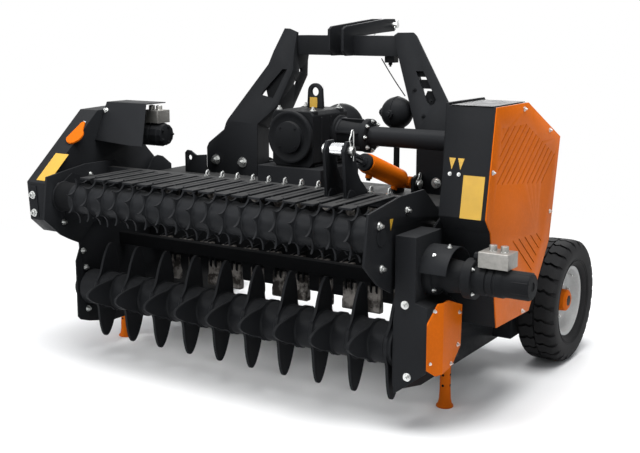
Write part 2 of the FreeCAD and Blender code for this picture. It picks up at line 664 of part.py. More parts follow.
def pickup_roller():
    drum = rod("pickup_drum_bar", "X", ("-inner_width / 2 + 6", "pickup_y", "pickup_z"),
               "pickup_drum", "inner_width - 12")
    shaft = rod("pickup_shaft", "X", ("-inner_width / 2 - side_plate - 20", "pickup_y", "pickup_z"),
                "shaft_radius", "inner_width + 2 * side_plate + 40")
    pieces = [drum, shaft]
    for index in range(whole("tine_count")):
        middle = spread(index, "tine_count", "tine_start", "tine_end")
        span = (f"{middle} - tine_thick / 2", f"{middle} + tine_thick / 2")
        outline = []
        for claw in range(2):
            turn = 180 - sizes.get("claw_turn") - 90 * (1 - index % 2) - 180 * claw
            for angle, reach in ((40, "claw_hub + 4"), (21, "claw_waist"), (9, "tine_tip - 22"),
                                 (3, "tine_tip"), (-3, "tine_tip"), (-9, "tine_tip - 22"),
                                 (-21, "claw_waist"), (-40, "claw_hub + 4")):
                outline.append((f"pickup_y + ({reach}) * cos({turn + angle:.2f})",
                                f"pickup_z + ({reach}) * sin({turn + angle:.2f})"))
        pieces.append(plate(f"tine_claws_{index}", "X", span, outline))
        pieces.append(rod(f"tine_hub_{index}", "X", (span[0], "pickup_y", "pickup_z"), "claw_hub",
                          "tine_thick"))
    node("pickup_roller", fuse("pickup_roller", pieces))


def pickup_drive():
    face = "inner_width / 2 + side_plate"
    plan = plate("drive_case_plan", "Z", ("case_low - 60", "case_high"), (
        (face, "case_front"), ("drive_box - 30", "case_front"), ("drive_box", "case_front + 54"),
        ("drive_box", "case_front + case_depth"), (face, "case_front + case_depth"),
    ))
    front = plate("drive_case_front", "Y", ("case_front", "case_front + case_depth"), (
        (face, "case_low"), ("drive_box - 30", "case_low + 95"), ("drive_box", "case_low + 112"),
        ("drive_box", "case_step - 10"), ("drive_box - 30", "case_step + 18"),
        ("drive_plate", "case_step + 30"), ("drive_plate", "case_high"), (face, "case_high"),
    ))
    bore = rod("drive_case_bore", "X", ("inner_width / 2", "pickup_y", "pickup_z"),
               "shaft_radius + 2", 40)
    node("pickup_drive_case", cut("pickup_drive_case", common("drive_case_block", [plan, front]), [bore]))
    bend = plate("drive_cover_plan", "Z", ("case_low", "case_high"), (
        ("drive_box - 27", "case_front - 6"), ("drive_box + 5", "case_front + 52"),
        ("drive_box + 5", "case_front + case_depth + 10"), ("drive_box", "case_front + case_depth + 10"),
        ("drive_box", "case_front + 54"), ("drive_box - 30", "case_front"),
    ))
    shape = plate("drive_cover_side", "X", ("drive_box - 40", "drive_box + 10"), (
        ("case_front - 6", "case_low + 110"), ("case_front - 6", "case_step - 42"),
        ("case_front + 34", "case_step + 30"), ("case_front + 84", "case_step + 34"),
        ("case_front + case_depth + 10", "case_step - 6"),
        ("case_front + case_depth + 4", "case_low + 150"), ("case_front + 124", "case_low + 95"),
        ("case_front + 30", "case_low + 82"),
    ))
    node("pickup_drive_cover", common("pickup_drive_cover", [bend, shape]))

    def turned(label, start, radius, end):
        return rod(label, "X", (start, "motor_y", "motor_z"), radius, f"({end}) - ({start})")

    node("pickup_motor", fuse("pickup_motor", [
        turned("motor_bearing", "drive_plate", "motor_flange + 8", "drive_plate + 34"),
        turned("motor_adaptor", "drive_plate + 34", "motor_radius - 2", "motor_mount"),
        turned("motor_disc", "motor_mount", "motor_flange", "motor_mount + 34"),
        turned("motor_stator", "motor_mount + 34", "motor_radius", "motor_end - 90"),
        turned("motor_port", "motor_end - 90", "motor_radius - 4", "motor_end"),
    ]))
    valve = box("pickup_valve_block", ("motor_end - 175", "motor_end - 70"),
                ("motor_y - 40", "motor_y + 40"),
                ("motor_z + motor_radius", "motor_z + motor_radius + valve_height"))
    plug = rod("pickup_valve_plug", "X", ("motor_end - 190", "motor_y",
                                          "motor_z + motor_radius + valve_height / 2"), "plug_radius", 20)
    ports = [rod(f"pickup_valve_port_{index}", "Z",
                 (f"motor_end - {back}", "motor_y", "motor_z + motor_radius + valve_height"), "port_radius", 20)
             for index, back in enumerate((140, 100))]
    node("pickup_valve", fuse("pickup_valve", [valve, plug] + ports))
    outer = turned("shield_outer", "drive_plate", "shield_radius", "drive_plate + shield_length")
    inner = turned("shield_inner", "drive_plate - 1", "shield_radius - 4", "drive_plate + shield_length + 1")
    below = box("shield_below", ("drive_plate - 2", "drive_plate + shield_length + 2"),
                ("motor_y - shield_radius - 2", "motor_y + shield_radius + 2"),
                ("motor_z - shield_radius - 2", "motor_z + 20"))
    node("pickup_shield", cut("pickup_shield", outer, [inner, below]))


# ---- swinging roller frame --------------------------------------------------

ARM_OUTLINE = (
    ("feed_y - 105", "feed_z - 80"), ("feed_y - 80", "feed_z + 87"),
    ("feed_y + 130", "comb_top + 26"), ("pivot_y - 110", "comb_top + 26"),
    ("pivot_y + 35", "pivot_z + 35"), ("pivot_y + 35", "pivot_z - 30"),
    ("pivot_y - 60", "pivot_z - 40"), ("feed_y + 160", "feed_z - 130"),
    ("feed_y + 77", "feed_z - 205"), ("feed_y + 25", "feed_z - 180"), ("feed_y - 20", "feed_z - 155"),
)


def arm(side, sign):
    span = sorted_ends(sign, f"({sign}) * (inner_width / 2 - arm_gap - arm_plate)",
                       f"({sign}) * (inner_width / 2 - arm_gap)")
    holes = (
        ("feed_y", "feed_z", "shaft_radius + running_gap"),
        ("pivot_y", "pivot_z", "pivot_pin + running_gap"),
    )
    node(side + "_arm", plate(side + "_arm", "X", span, ARM_OUTLINE, holes))


def pivot_pins():
    pins = []
    for side, sign in (("left", -1), ("right", 1)):
        inner = f"({sign}) * (inner_width / 2 - arm_gap - arm_plate - 6)"
        outer = f"({sign}) * inner_width / 2"
        start = inner if sign > 0 else outer
        pins.append(rod(side + "_pivot", "X", (start, "pivot_y", "pivot_z"), "pivot_pin",
                        "arm_gap + arm_plate + 6"))
    node("pivot_pins", group("pivot_pins", pins))


def comb_deck():
    inner = "inner_width / 2 - arm_gap - arm_plate"
    rail = box("comb_rail", (f"-({inner})", inner), ("comb_rear - 30", "comb_rear"),
               ("comb_top - comb_plate - 30", "comb_top"))
    pieces = [rail]
    for slat in range(whole("feed_count") - 1):
        middle = spread(slat + 0.5, "feed_count", "disc_start", "disc_end")
        pieces.append(box(f"slat_{slat}", (f"{middle} - slat_width / 2", f"{middle} + slat_width / 2"),
                          ("feed_y - 30", "comb_rear - 15"), ("comb_top - comb_plate", "comb_top")))
    node("comb_deck", fuse("comb_deck", pieces))


def fork():
    plates = []
    for side, sign in (("left", -1), ("right", 1)):
        near = f"fork_x + ({sign}) * fork_inner / 2"
        far = f"fork_x + ({sign}) * (fork_inner / 2 + fork_plate)"
        outline = (
            ("fork_pin_y - 20", "comb_top"), ("fork_pin_y - 36", "fork_pin_z"),
            ("fork_pin_y - 16", "fork_pin_z + 32"), ("fork_pin_y + 22", "fork_pin_z + 32"),
            ("fork_pin_y + 40", "fork_pin_z"), ("fork_pin_y + 46", "fork_pin_z - 70"),
            ("fork_pin_y + 72", "comb_top + 55"), ("fork_pin_y + 115", "comb_top + 18"),
            ("comb_rear - 8", "comb_top"),
        )
        plates.append(plate(f"fork_{side}_plate", "X", sorted_ends(sign, near, far), outline,
                            [("fork_pin_y", "fork_pin_z", "fork_pin")]))
    node("fork", group("fork", plates))
    pin = rod("fork_pin_bar", "X", ("fork_x - fork_inner / 2 - fork_plate - 14", "fork_pin_y",
                                    "fork_pin_z"), "fork_pin", "fork_inner + 2 * fork_plate + 30")
    node("fork_pin", pin)


def chain_case():
    outer = "-(inner_width / 2 + side_plate + case_gap + case_width)"
    inner = "-(inner_width / 2 + side_plate + case_gap)"
    case = plate("chain_case_block", "X", (outer, inner), (
        ("feed_y - 57", "feed_z - 96"), ("feed_y - 66", "feed_z + 57"),
        ("feed_motor_y - 130", "case_top - 32"), ("feed_motor_y + 90", "case_top - 24"),
        ("feed_motor_y + 130", "feed_motor_z - 40"), ("feed_motor_y + 162", "feed_motor_z - 84"),
        ("pivot_y + 185", "pivot_z + 114"), ("pivot_y + 140", "pivot_z + 66"),
        ("feed_y + 170", "feed_z + 10"),
        ("feed_y + 120", "feed_z - 100"), ("feed_y + 6", "feed_z - 153"),
    ))
    hub = rod("chain_case_hub", "X", (inner, "feed_y", "feed_z"), "case_hub",
              "side_plate + case_gap + arm_gap")
    bore = rod("chain_case_bore", "X", (f"{inner} - 20", "feed_y", "feed_z"),
               "shaft_radius + running_gap", "side_plate + case_gap + arm_gap + 21")
    node("chain_case", cut("chain_case", fuse("chain_case_body", [case, hub]), [bore]))
    motor = rod("feed_motor_core", "X", (inner, "feed_motor_y", "feed_motor_z"),
                "feed_motor_radius", "feed_motor_length")
    flange = rod("feed_motor_flange", "X", (inner, "feed_motor_y", "feed_motor_z"),
                 "feed_motor_radius + 8", 40)
    node("feed_motor", fuse("feed_motor", [motor, flange]))
    valve = box("feed_valve_block", ("feed_valve_x", "feed_valve_x + 90"),
                ("feed_motor_y - 36", "feed_motor_y + 36"),
                ("feed_motor_z + feed_motor_radius", "feed_motor_z + feed_motor_radius + valve_height"))
    ports = [rod(f"feed_valve_port_{index}", "Z",
                 (f"feed_valve_x + {along}", "feed_motor_y",
                  "feed_motor_z + feed_motor_radius + valve_height"), "port_radius", 18)
             for index, along in enumerate((25, 65))]
    node("feed_valve", fuse("feed_valve", [valve] + ports))
    low = "feed_motor_z - 35"
    lean = ("guard_front + 83", "case_top")
    sheet = plate("motor_guard_sheet", "X", (inner, "guard_end"), (
        ("guard_front", low), lean, (f"{lean[0]} + 120", "case_top"),
        (f"{lean[0]} + 120", "case_top - belt_sheet"), (f"{lean[0]} + 2", "case_top - belt_sheet"),
        ("guard_front + belt_sheet", f"{low} - 2"),
    ))
    trim = plate("motor_guard_trim", "Y", ("guard_front - 10", "guard_front + 220"), (
        (inner, f"{low} + 12"), ("guard_end", f"{low} - 4"), ("guard_end - 49", "case_top + 5"),
        (inner, "case_top + 5"),
    ))
    node("motor_guard", common("motor_guard", [sheet, trim]))


def feed_roller():
    inner = "inner_width / 2 - arm_gap - arm_plate"
    drum = rod("feed_drum_bar", "X", (f"-({inner}) + 5", "feed_y", "feed_z"), "feed_drum",
               f"2 * ({inner}) - 10")
    shaft = rod("feed_shaft", "X", ("-(inner_width / 2 + side_plate + case_gap + 10)", "feed_y",
                                    "feed_z"), "shaft_radius",
                f"({inner}) + arm_plate + 4 + inner_width / 2 + side_plate + case_gap + 10")
    teeth = whole("feed_teeth")
    count = whole("feed_count")
    pieces = [drum, shaft]
    for phase in range(2):
        discs = [rod(f"feed_disc_{disc}", "X",
                     (spread(disc, "feed_count", "disc_start", "disc_end") + " - feed_disc / 2", "feed_y", "feed_z"),
                     "feed_tip", "feed_disc") for disc in range(phase, count, 2)]
        hollows = []
        for tooth in range(teeth):
            turn = f"(180 - feed_turn - 360 / feed_teeth * ({tooth} + {phase} / 2))"
            hollows.append(rod(f"feed_hollow_{phase}_{tooth}", "X",
                               (f"-({inner})", f"feed_y + scallop_ring * cos({turn})",
                                f"feed_z + scallop_ring * sin({turn})"), "scallop", f"2 * ({inner})"))
        pieces.append(cut(f"feed_stars_{phase}", group(f"feed_discs_{phase}", discs), hollows))
    node("feed_roller", fuse("feed_roller", pieces))


# ---- rotor ------------------------------------------------------------------

def hammer_rotor():
    tube = rod("rotor_bar", "X", ("-inner_width / 2 + 12", "rotor_y", "rotor_z"), "rotor_tube",
               "inner_width - 24")
    shaft = rod("rotor_shaft", "X", ("-inner_width / 2 - side_plate - 30", "rotor_y", "rotor_z"),
                "shaft_radius", "inner_width + 2 * side_plate + 60")
    pieces = [tube, shaft]
    for row in range(whole("hammer_rows")):
        turn = 360 / whole("hammer_rows") * row
        for index in range(whole("hammer_count")):
            middle = f"({index} - (hammer_count - 1) / 2) * hammer_pitch + ({row % 2} - 0.5) * hammer_shift"
            for part, width, thick, low, high in (
                ("lug", "hammer_width / 2", "hammer_body", "rotor_tube - 10", "rotor_tube + 45"),
                ("head", "hammer_width", "hammer_body * 1.4", "rotor_tube + 30", "hammer_radius"),
            ):
                block = box(f"hammer_{part}_{row}_{index}",
                            (f"{middle} - {width} / 2", f"{middle} + {width} / 2"),
                            (f"-{thick} / 2", f"{thick} / 2"), (low, high))
                block.Placement.Rotation = FreeCAD.Rotation(FreeCAD.Vector(1, 0, 0), turn)
                bind(block, "Placement.Base.y",
                     f"rotor_y - ({low}) * sin({turn}) - {thick} / 2 * cos({turn})")
                bind(block, "Placement.Base.z",
                     f"rotor_z + ({low}) * cos({turn}) - {thick} / 2 * sin({turn})")
                pieces.append(block)
    node("hammer_rotor", fuse("hammer_rotor", pieces))


# ---- cylinder -----------------------------------------------------------------

def cylinder():
    dy = "(fork_pin_y - base_pin_y)"
    dz = "(fork_pin_z - base_pin_z)"
    tilt = f"atan2({dz}; -{dy})"
    span = f"sqrt({dy} * {dy} + {dz} * {dz})"

    def aimed(thing):
        """Turn a piece made along -Y onto the line between the two pins."""
        thing.Placement.Rotation = FreeCAD.Rotation(FreeCAD.Vector(-1, 0, 0), 0)
        bind(thing, "Placement.Rotation.Angle", tilt)
        bind(thing, "Placement.Base.x", "frame_x + fork_x")
        bind(thing, "Placement.Base.y", "frame_y + base_pin_y")
        bind(thing, "Placement.Base.z", "base_pin_z")

    eye = rod("barrel_eye", "X", ("-eye_width / 2", 0, 0), "eye_radius", "eye_width")
    barrel = rod("barrel_tube", "Y", (0, "-barrel_length", 0), "barrel_radius", "barrel_length - barrel_base + 2")
    link = box("barrel_link", ("-18", "18"), ("-60", "0"), ("-20", "20"))
    bore = rod("barrel_bore", "Y", (0, "-barrel_length - 1", 0), "rod_radius + running_gap",
               "barrel_length - barrel_base")
    pin_bore = rod("barrel_pin_bore", "X", ("-eye_width / 2 - 1", 0, 0), "base_pin + running_gap",
                   "eye_width + 2")
    body = cut("cylinder_barrel", fuse("barrel_body", [eye, barrel, link]), [bore, pin_bore])
    node("cylinder_barrel", body)
    aimed(body)
    rod_eye = rod("rod_eye", "X", ("-eye_width / 2", f"-{span}", 0), "eye_radius", "eye_width")
    bar = rod("rod_bar", "Y", (0, f"-{span}", 0), "rod_radius", f"{span} - rod_start")
    open_bore = rod("rod_eye_bore", "X", ("-eye_width / 2 - 1", f"-{span}", 0),
                    "fork_pin + eye_drift", "eye_width + 2")
    piston = cut("cylinder_rod", fuse("rod_body", [rod_eye, bar]), [open_bore])
    node("cylinder_rod", piston)
    aimed(piston)
    lugs = []
    for side, sign in (("left", -1), ("right", 1)):
        near = f"fork_x + ({sign}) * fork_inner / 2"
        far = f"fork_x + ({sign}) * (fork_inner / 2 + fork_plate)"
        lugs.append(plate(f"base_{side}_lug", "X", sorted_ends(sign, near, far), (
            ("base_pin_y - 28", "deck_top"), ("base_pin_y - 26", "base_pin_z + 20"),
            ("base_pin_y", "base_pin_z + 30"), ("leg_front", "base_pin_z + 30"),
            ("leg_front", "deck_top"),
        )))
    pin = rod("base_pin_bar", "X", ("fork_x - fork_inner / 2 - fork_plate", "base_pin_y",
                                    "base_pin_z"), "base_pin", "fork_inner + 2 * fork_plate")
    node("cylinder_bracket", fuse("cylinder_bracket", lugs + [pin]))


# ---- wheels and parking legs ----------------------------------------------------

def wheel(side, sign):
    middle = f"({sign}) * wheel_x"

    def turned(label, start, radius, length, top=None):
        return rod(f"{side}_{label}", "X", (f"{middle} + ({start})", "wheel_y", "wheel_radius"),
                   radius, length, top)

    half = "tyre_width / 2"
    tread = fuse(side + "_tread", [
        turned("tread_middle", f"-{half} + shoulder", "wheel_radius", "tyre_width - 2 * shoulder"),
        turned("tread_left", f"-{half}", "wheel_radius - shoulder", "shoulder", "wheel_radius"),
        turned("tread_right", f"{half} - shoulder", "wheel_radius", "shoulder", "wheel_radius - shoulder"),
    ])
    hollow = turned("tyre_hollow", f"-{half} - 1", "rim_radius", "tyre_width + 2")
    node(side + "_tyre", cut(side + "_tyre", tread, [hollow]))
    band = turned("rim_band", "-rim_width / 2", "rim_radius", "rim_width")
    dishes = [
        turned("rim_dish_left", "-rim_width / 2 - 1", "rim_radius - 14", "dish_depth"),
        turned("rim_dish_right", "rim_width / 2 + 1 - dish_depth", "rim_radius - 14", "dish_depth"),
        turned("rim_bore", "-rim_width / 2 - 1", "hub_radius", "rim_width + 2"),
    ]
    node(side + "_rim", cut(side + "_rim", band, dishes))
    hub = turned("hub_bar", "-rim_width / 2", "hub_radius", "rim_width")
    bore = turned("hub_bore", "-rim_width / 2 - 1", "axle_radius + running_gap", "rim_width + 2")
    node(side + "_hub", cut(side + "_hub", hub, [bore]))
    arm_outer = f"({sign}) * (wheel_x - tyre_width / 2 - 8)"
    arm_inner = f"({sign}) * (inner_width / 2 + side_plate)"
    beam = plate(side + "_wheel_beam", "X", sorted_ends(sign, arm_inner, arm_outer), (
        ("plate_rear - 200", "rear_sill"), ("plate_rear - 200", "rear_sill + 120"),
        ("wheel_y + 40", "wheel_radius + 40"), ("wheel_y + 40", "wheel_radius - 40"),
        ("plate_rear - 60", "rear_sill"),
    ))
    axle_end = f"({sign}) * (wheel_x + rim_width / 2)"
    low = arm_outer if sign > 0 else axle_end
    axle = rod(side + "_axle", "X", (low, "wheel_y", "wheel_radius"), "axle_radius",
               "tyre_width / 2 + 8 + rim_width / 2")
    node(side + "_wheel_arm", fuse(side + "_wheel_arm", [beam, axle]))


def parking_leg(side, sign):
    middle = f"({sign}) * parking_x"
    post = rod(side + "_post", "Z", (middle, "parking_y", "foot_flare"), "parking_radius",
               "socket_low + socket_height + 30 - foot_flare")
    foot = rod(side + "_foot", "Z", (middle, "parking_y", 0), "foot_radius", "foot_flare", "parking_radius")
    node(side + "_parking_leg", fuse(side + "_parking_leg", [post, foot]))
    ends = sorted_ends(sign, f"({sign}) * (inner_width / 2 + side_plate)",
                       f"({sign}) * (parking_x + parking_radius + 8)")
    block = box(side + "_socket_block", ends,
                ("parking_y - parking_radius - 8", "parking_y + parking_radius + 8"),
                ("socket_low", "socket_low + socket_height"))
    bore = rod(side + "_socket_bore", "Z", (middle, "parking_y", "socket_low - 5"),
               "parking_radius + running_gap", "socket_height + 10")
    node(side + "_leg_socket", cut(side + "_leg_socket", block, [bore]))


for side, sign in (("left", -1), ("right", 1)):
    side_plate(side, sign)
    lower_hitch(side, sign)
    arm(side, sign)
    wheel(side, sign)
    parking_leg(side, sign)
left_leg = headstock_leg("left", -1, (
    (548, "lean_low"), (541, 964), (364, 1201), (346, 1255), (304, 1351), (276, 1350), (238, 1337),
), (
    (380, "lean_low"), (286, 1034), (232, 1181), (240, 1243), (238, 1327),
), (
    (265, 1182), (287, 1182), (374, 1084), (380, 1074), (317, 1062),
), "left_web", (("leg_front + 115", "web_hole_high"), ("leg_front + 100", "web_hole_low")))
right_leg = headstock_leg("right", 1, (
    (600, "lean_low"), (494, 1085), (323, 1328), (311, 1337), (241, 1336), (226, 1325),
), (
    (384, "lean_low"), (320, 1099), (257, 1244), (230, 1315),
), (
    (344, 1190), (376, 1190), (446, 1085), (440, 1068), (425, 1063), (408, 1075),
), "right_web", (("leg_front + 145", "web_hole_high"), ("leg_front + 145", "web_hole_low")))
rotor_hood()
counter_blade()
bearings()
cross_tube()
top_beam([left_leg, right_leg])
top_link()
deck_lug()
gearbox()
drive_tube()
belt_guard()
accumulator()
pickup_roller()
pickup_drive()
pivot_pins()
comb_deck()
fork()
chain_case()
feed_roller()
hammer_rotor()
cylinder()

doc.recompute()
for thing in doc.Objects:
    if "Invalid" in thing.State or "Error" in thing.State:
        raise RuntimeError(f"{thing.Label} did not build: {thing.State}")

os.makedirs("parts", exist_ok=True)
for name, thing in nodes.items():
    shape = thing.Shape
    if shape.isNull() or not shape.isValid():
        raise RuntimeError(f"{name} has no valid shape")
    shape.exportStep(f"parts/{name}.step")
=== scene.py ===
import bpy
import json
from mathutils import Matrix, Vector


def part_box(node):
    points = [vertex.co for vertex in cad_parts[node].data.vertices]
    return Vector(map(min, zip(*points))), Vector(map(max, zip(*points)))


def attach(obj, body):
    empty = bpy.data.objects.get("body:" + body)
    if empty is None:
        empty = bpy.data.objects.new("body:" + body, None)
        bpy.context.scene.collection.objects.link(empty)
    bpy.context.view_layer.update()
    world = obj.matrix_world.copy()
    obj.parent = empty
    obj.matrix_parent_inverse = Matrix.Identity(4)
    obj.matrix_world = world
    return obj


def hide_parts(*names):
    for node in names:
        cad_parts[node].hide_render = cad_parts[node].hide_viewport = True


bl_info = {
    "name": "Pick-up mulcher",
    "version": (1, 0, 0),
    "blender": (4, 5, 0),
    "location": "3D View > Sidebar > Mulcher",
    "description": "Dresses the pick-up pruning mulcher with its finishes and small parts",
    "category": "Object",
}

import json
import math

import bmesh
import bpy
from bpy.props import FloatProperty, FloatVectorProperty, IntProperty, PointerProperty
from mathutils import Matrix, Vector

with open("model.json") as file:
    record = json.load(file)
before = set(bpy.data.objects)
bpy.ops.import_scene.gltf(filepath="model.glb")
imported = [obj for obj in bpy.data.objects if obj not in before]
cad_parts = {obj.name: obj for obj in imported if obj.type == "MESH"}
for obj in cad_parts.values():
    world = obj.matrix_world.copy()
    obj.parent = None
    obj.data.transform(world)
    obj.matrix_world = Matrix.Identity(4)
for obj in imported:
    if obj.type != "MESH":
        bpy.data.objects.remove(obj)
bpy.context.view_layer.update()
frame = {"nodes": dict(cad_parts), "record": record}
NODES = frame["nodes"]
BODY_OF = {node: body for body, nodes in frame["record"]["behaviour"]["bodies"].items() for node in nodes}
MM = 0.001


def middle(node):
    """The middle of a CAD node's box, in the row frame."""
    low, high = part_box(node)
    return (low + high) / 2


# The machine's own datum in the row frame: middle of the hood, and this far behind the arms' hinge.
BEHIND_HINGE = 0.240
DATUM = Vector((middle("rotor_hood").x, middle("pivot_pins").y + BEHIND_HINGE, 0))


def at(x, y, z):
    """A point of the machine, in millimetres, as a point of the row frame."""
    return Vector((x, y, z)) * MM + DATUM


def span(node, axis="x"):
    """Where a CAD node starts and ends along an axis, in the machine's millimetres."""
    return [(getattr(corner, axis) - getattr(DATUM, axis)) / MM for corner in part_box(node)]


def angles(count, start=0.0):
    """Equal steps round a full turn."""
    return [start + 2 * math.pi * step / count for step in range(count)]


def mirrored(points):
    """One side of an outline, followed by its mirror image on the way back."""
    return [*points, *((-across, up) for across, up in reversed(points))]


# ---- finishes ----

class Wire:
    """A shader socket whose arithmetic adds Math nodes."""

    def __init__(self, finish, socket):
        self.finish = finish
        self.socket = socket

    def _maths(self, operation, *values):
        return self.finish.node("ShaderNodeMath", {"operation": operation}, *values)

    def __add__(self, other):
        return self._maths("ADD", self, other)

    def __sub__(self, other):
        return self._maths("SUBTRACT", self, other)

    def __rsub__(self, other):
        return self._maths("SUBTRACT", other, self)

    def __mul__(self, other):
        return self._maths("MULTIPLY", self, other)

    def __pow__(self, other):
        return self._maths("POWER", self, other)

    def over(self, limit, soft=0.1):
        """0 below the limit and 1 above it, with a soft step."""
        return self.finish.node("ShaderNodeMapRange", {}, self, limit - soft, limit + soft)

    __radd__ = __add__
    __rmul__ = __mul__


class Finish:
    """A material with one surface shader."""

    def __init__(self, name, **shader):
        self.material = bpy.data.materials.new(name)
        self.material.use_nodes = True
        self.tree = self.material.node_tree
        self.tree.nodes.clear()
        self.shader = self.tree.nodes.new("ShaderNodeBsdfPrincipled")
        output = self.tree.nodes.new("ShaderNodeOutputMaterial")
        self.tree.links.new(self.shader.outputs[0], output.inputs["Surface"])
        for key, value in shader.items():
            self.set(key.replace("_", " ").title().replace("Ior", "IOR"), value)

    def feed(self, socket, value):
        if isinstance(value, Wire):
            self.tree.links.new(value.socket, socket)
        else:
            socket.default_value = value

    def set(self, name, value):
        if name == "Base Color" and not isinstance(value, Wire):
            value = (*value[:3], 1.0)
        self.feed(self.shader.inputs[name], value)

    def node(self, kind, settings, *values, output=0, **named):
        made = self.tree.nodes.new(kind)
        for key, value in settings.items():
            if key == "stops":
                ramp = made.color_ramp.elements
                for (place, colour), element in zip(value, [ramp[0], ramp[1]]):
                    element.position, element.color = place, (*colour, 1.0)
                for place, colour in value[2:]:
                    ramp.new(place).color = (*colour, 1.0)
            else:
                setattr(made, key, value)
        for index, value in enumerate(values):
            self.feed(made.inputs[index], value)
        for key, value in named.items():
            self.feed(made.inputs[key.replace("_", " ")], value)
        return Wire(self, made.outputs[output])

    def place(self):
        return self.node("ShaderNodeTexCoord", {}, output="Object")

    def noise(self, scale, detail=3.0, rough=0.55, where=None):
        return self.node("ShaderNodeTexNoise", {}, Vector=where or self.place(), Scale=scale,
                         Detail=detail, Roughness=rough)

    def up(self):
        """How far a face looks up, 0 to 1."""
        normal = self.node("ShaderNodeNewGeometry", {}, output="Normal")
        return self.node("ShaderNodeSeparateXYZ", {}, normal, output=2)

    def mix(self, factor, first, second):
        made = self.tree.nodes.new("ShaderNodeMix")
        made.data_type = "RGBA"
        by_name = {socket.identifier: socket for socket in (*made.inputs, *made.outputs)}
        self.feed(by_name["Factor_Float"], factor)
        for key, value in (("A_Color", first), ("B_Color", second)):
            self.feed(by_name[key], value if isinstance(value, Wire) else (*value[:3], 1.0))
        return Wire(self, by_name["Result_Color"])

    def bump(self, height, strength, distance):
        self.set("Normal", self.node("ShaderNodeBump", {}, Height=height, Strength=strength,
                                     Distance=distance))


# How much of the white room the coats and the rubber mirror.
COAT_GLOSS, RUBBER_GLOSS = 0.03, 0.08


def tint(colour, factor):
    return tuple(min(1.0, part * factor) for part in colour[:3])


def paint(name, colour, roughness, dust_and_top_light=0.05, dust_and_top_light_colour=(0.16, 0.155, 0.145), coat=0.0):
    """Powder coat: slow changes of tone, fine grain, orange peel, and on what looks up a lighter colour that
    is dust and painted top light.
    """
    finish = Finish(name, coat_weight=coat, coat_roughness=0.25, specular_ior_level=COAT_GLOSS)
    place = finish.place()
    slow = finish.noise(2.3, 2.0, where=place)
    fine = finish.noise(95.0, 4.0, 0.65, where=place)
    scuff = finish.noise(17.0, 6.0, 0.7, where=place)
    shade = finish.mix(slow.over(0.5, 0.22), tint(colour, 0.86), tint(colour, 1.14))
    shade = finish.mix(fine.over(0.6, 0.15) * 0.22, shade, tint(colour, 1.5))
    # faces that look up get lighter: dust, and painted light from above
    dust_and_top_light_mask = finish.up().over(0.75, 0.25) * scuff.over(0.45, 0.3) * dust_and_top_light
    finish.set("Base Color", finish.mix(dust_and_top_light_mask, shade, dust_and_top_light_colour))
    finish.set("Roughness", scuff.over(0.55, 0.25) * 0.14 + (roughness - 0.05) + dust_and_top_light_mask * 0.8)
    finish.bump(finish.noise(420.0, 2.0, where=place) + fine * 0.5, 0.08, 0.0004)
    return finish.material


def bare_metal(name, colour, roughness, spot=None, spread=0.62, scale=26.0, bumps=0.12):
    """Plated, ground or worn steel with streaks and, where asked, spots of another shade."""
    finish = Finish(name, metallic=1.0)
    place = finish.place()
    streak = finish.noise(60.0, 5.0, 0.7, where=place)
    cloud = finish.noise(scale, 5.0, 0.6, where=place)
    shade = finish.mix(streak.over(0.5, 0.2), tint(colour, 0.82), tint(colour, 1.1))
    if spot:
        stained = cloud.over(spread, 0.07)
        shade = finish.mix(stained, shade, spot)
        finish.set("Metallic", 1.0 - stained * 0.75)
        finish.set("Roughness", stained * 0.4 + streak * 0.2 + roughness)
    else:
        finish.set("Roughness", cloud * 0.16 + (roughness - 0.05))
    finish.set("Base Color", shade)
    finish.bump(streak + cloud * 2.0, bumps, 0.0006)
    return finish.material


def rubber(name, colour):
    finish = Finish(name, specular_ior_level=RUBBER_GLOSS)
    place = finish.place()
    fine = finish.noise(210.0, 3.0, where=place)
    cloud = finish.noise(9.0, 4.0, 0.6, where=place)
    shade = finish.mix(cloud.over(0.55, 0.2), colour, tint(colour, 1.45))
    finish.set("Base Color", finish.mix(fine.over(0.62, 0.1) * 0.35, shade, tint(colour, 2.1)))
    finish.set("Roughness", cloud * 0.18 + 0.6)
    finish.bump(fine + cloud, 0.22, 0.0008)
    return finish.material


def sign(name, colour, roughness=0.38):
    """A printed film sheet, faintly mottled."""
    finish = Finish(name, coat_weight=0.25, coat_roughness=0.15)
    cloud = finish.noise(30.0, 3.0)
    finish.set("Base Color", finish.mix(cloud.over(0.5, 0.2), tint(colour, 0.93), tint(colour, 1.05)))
    finish.set("Roughness", cloud * 0.1 + roughness)
    finish.bump(finish.noise(300.0, 2.0), 0.03, 0.0003)
    return finish.material


FINISHES = {}


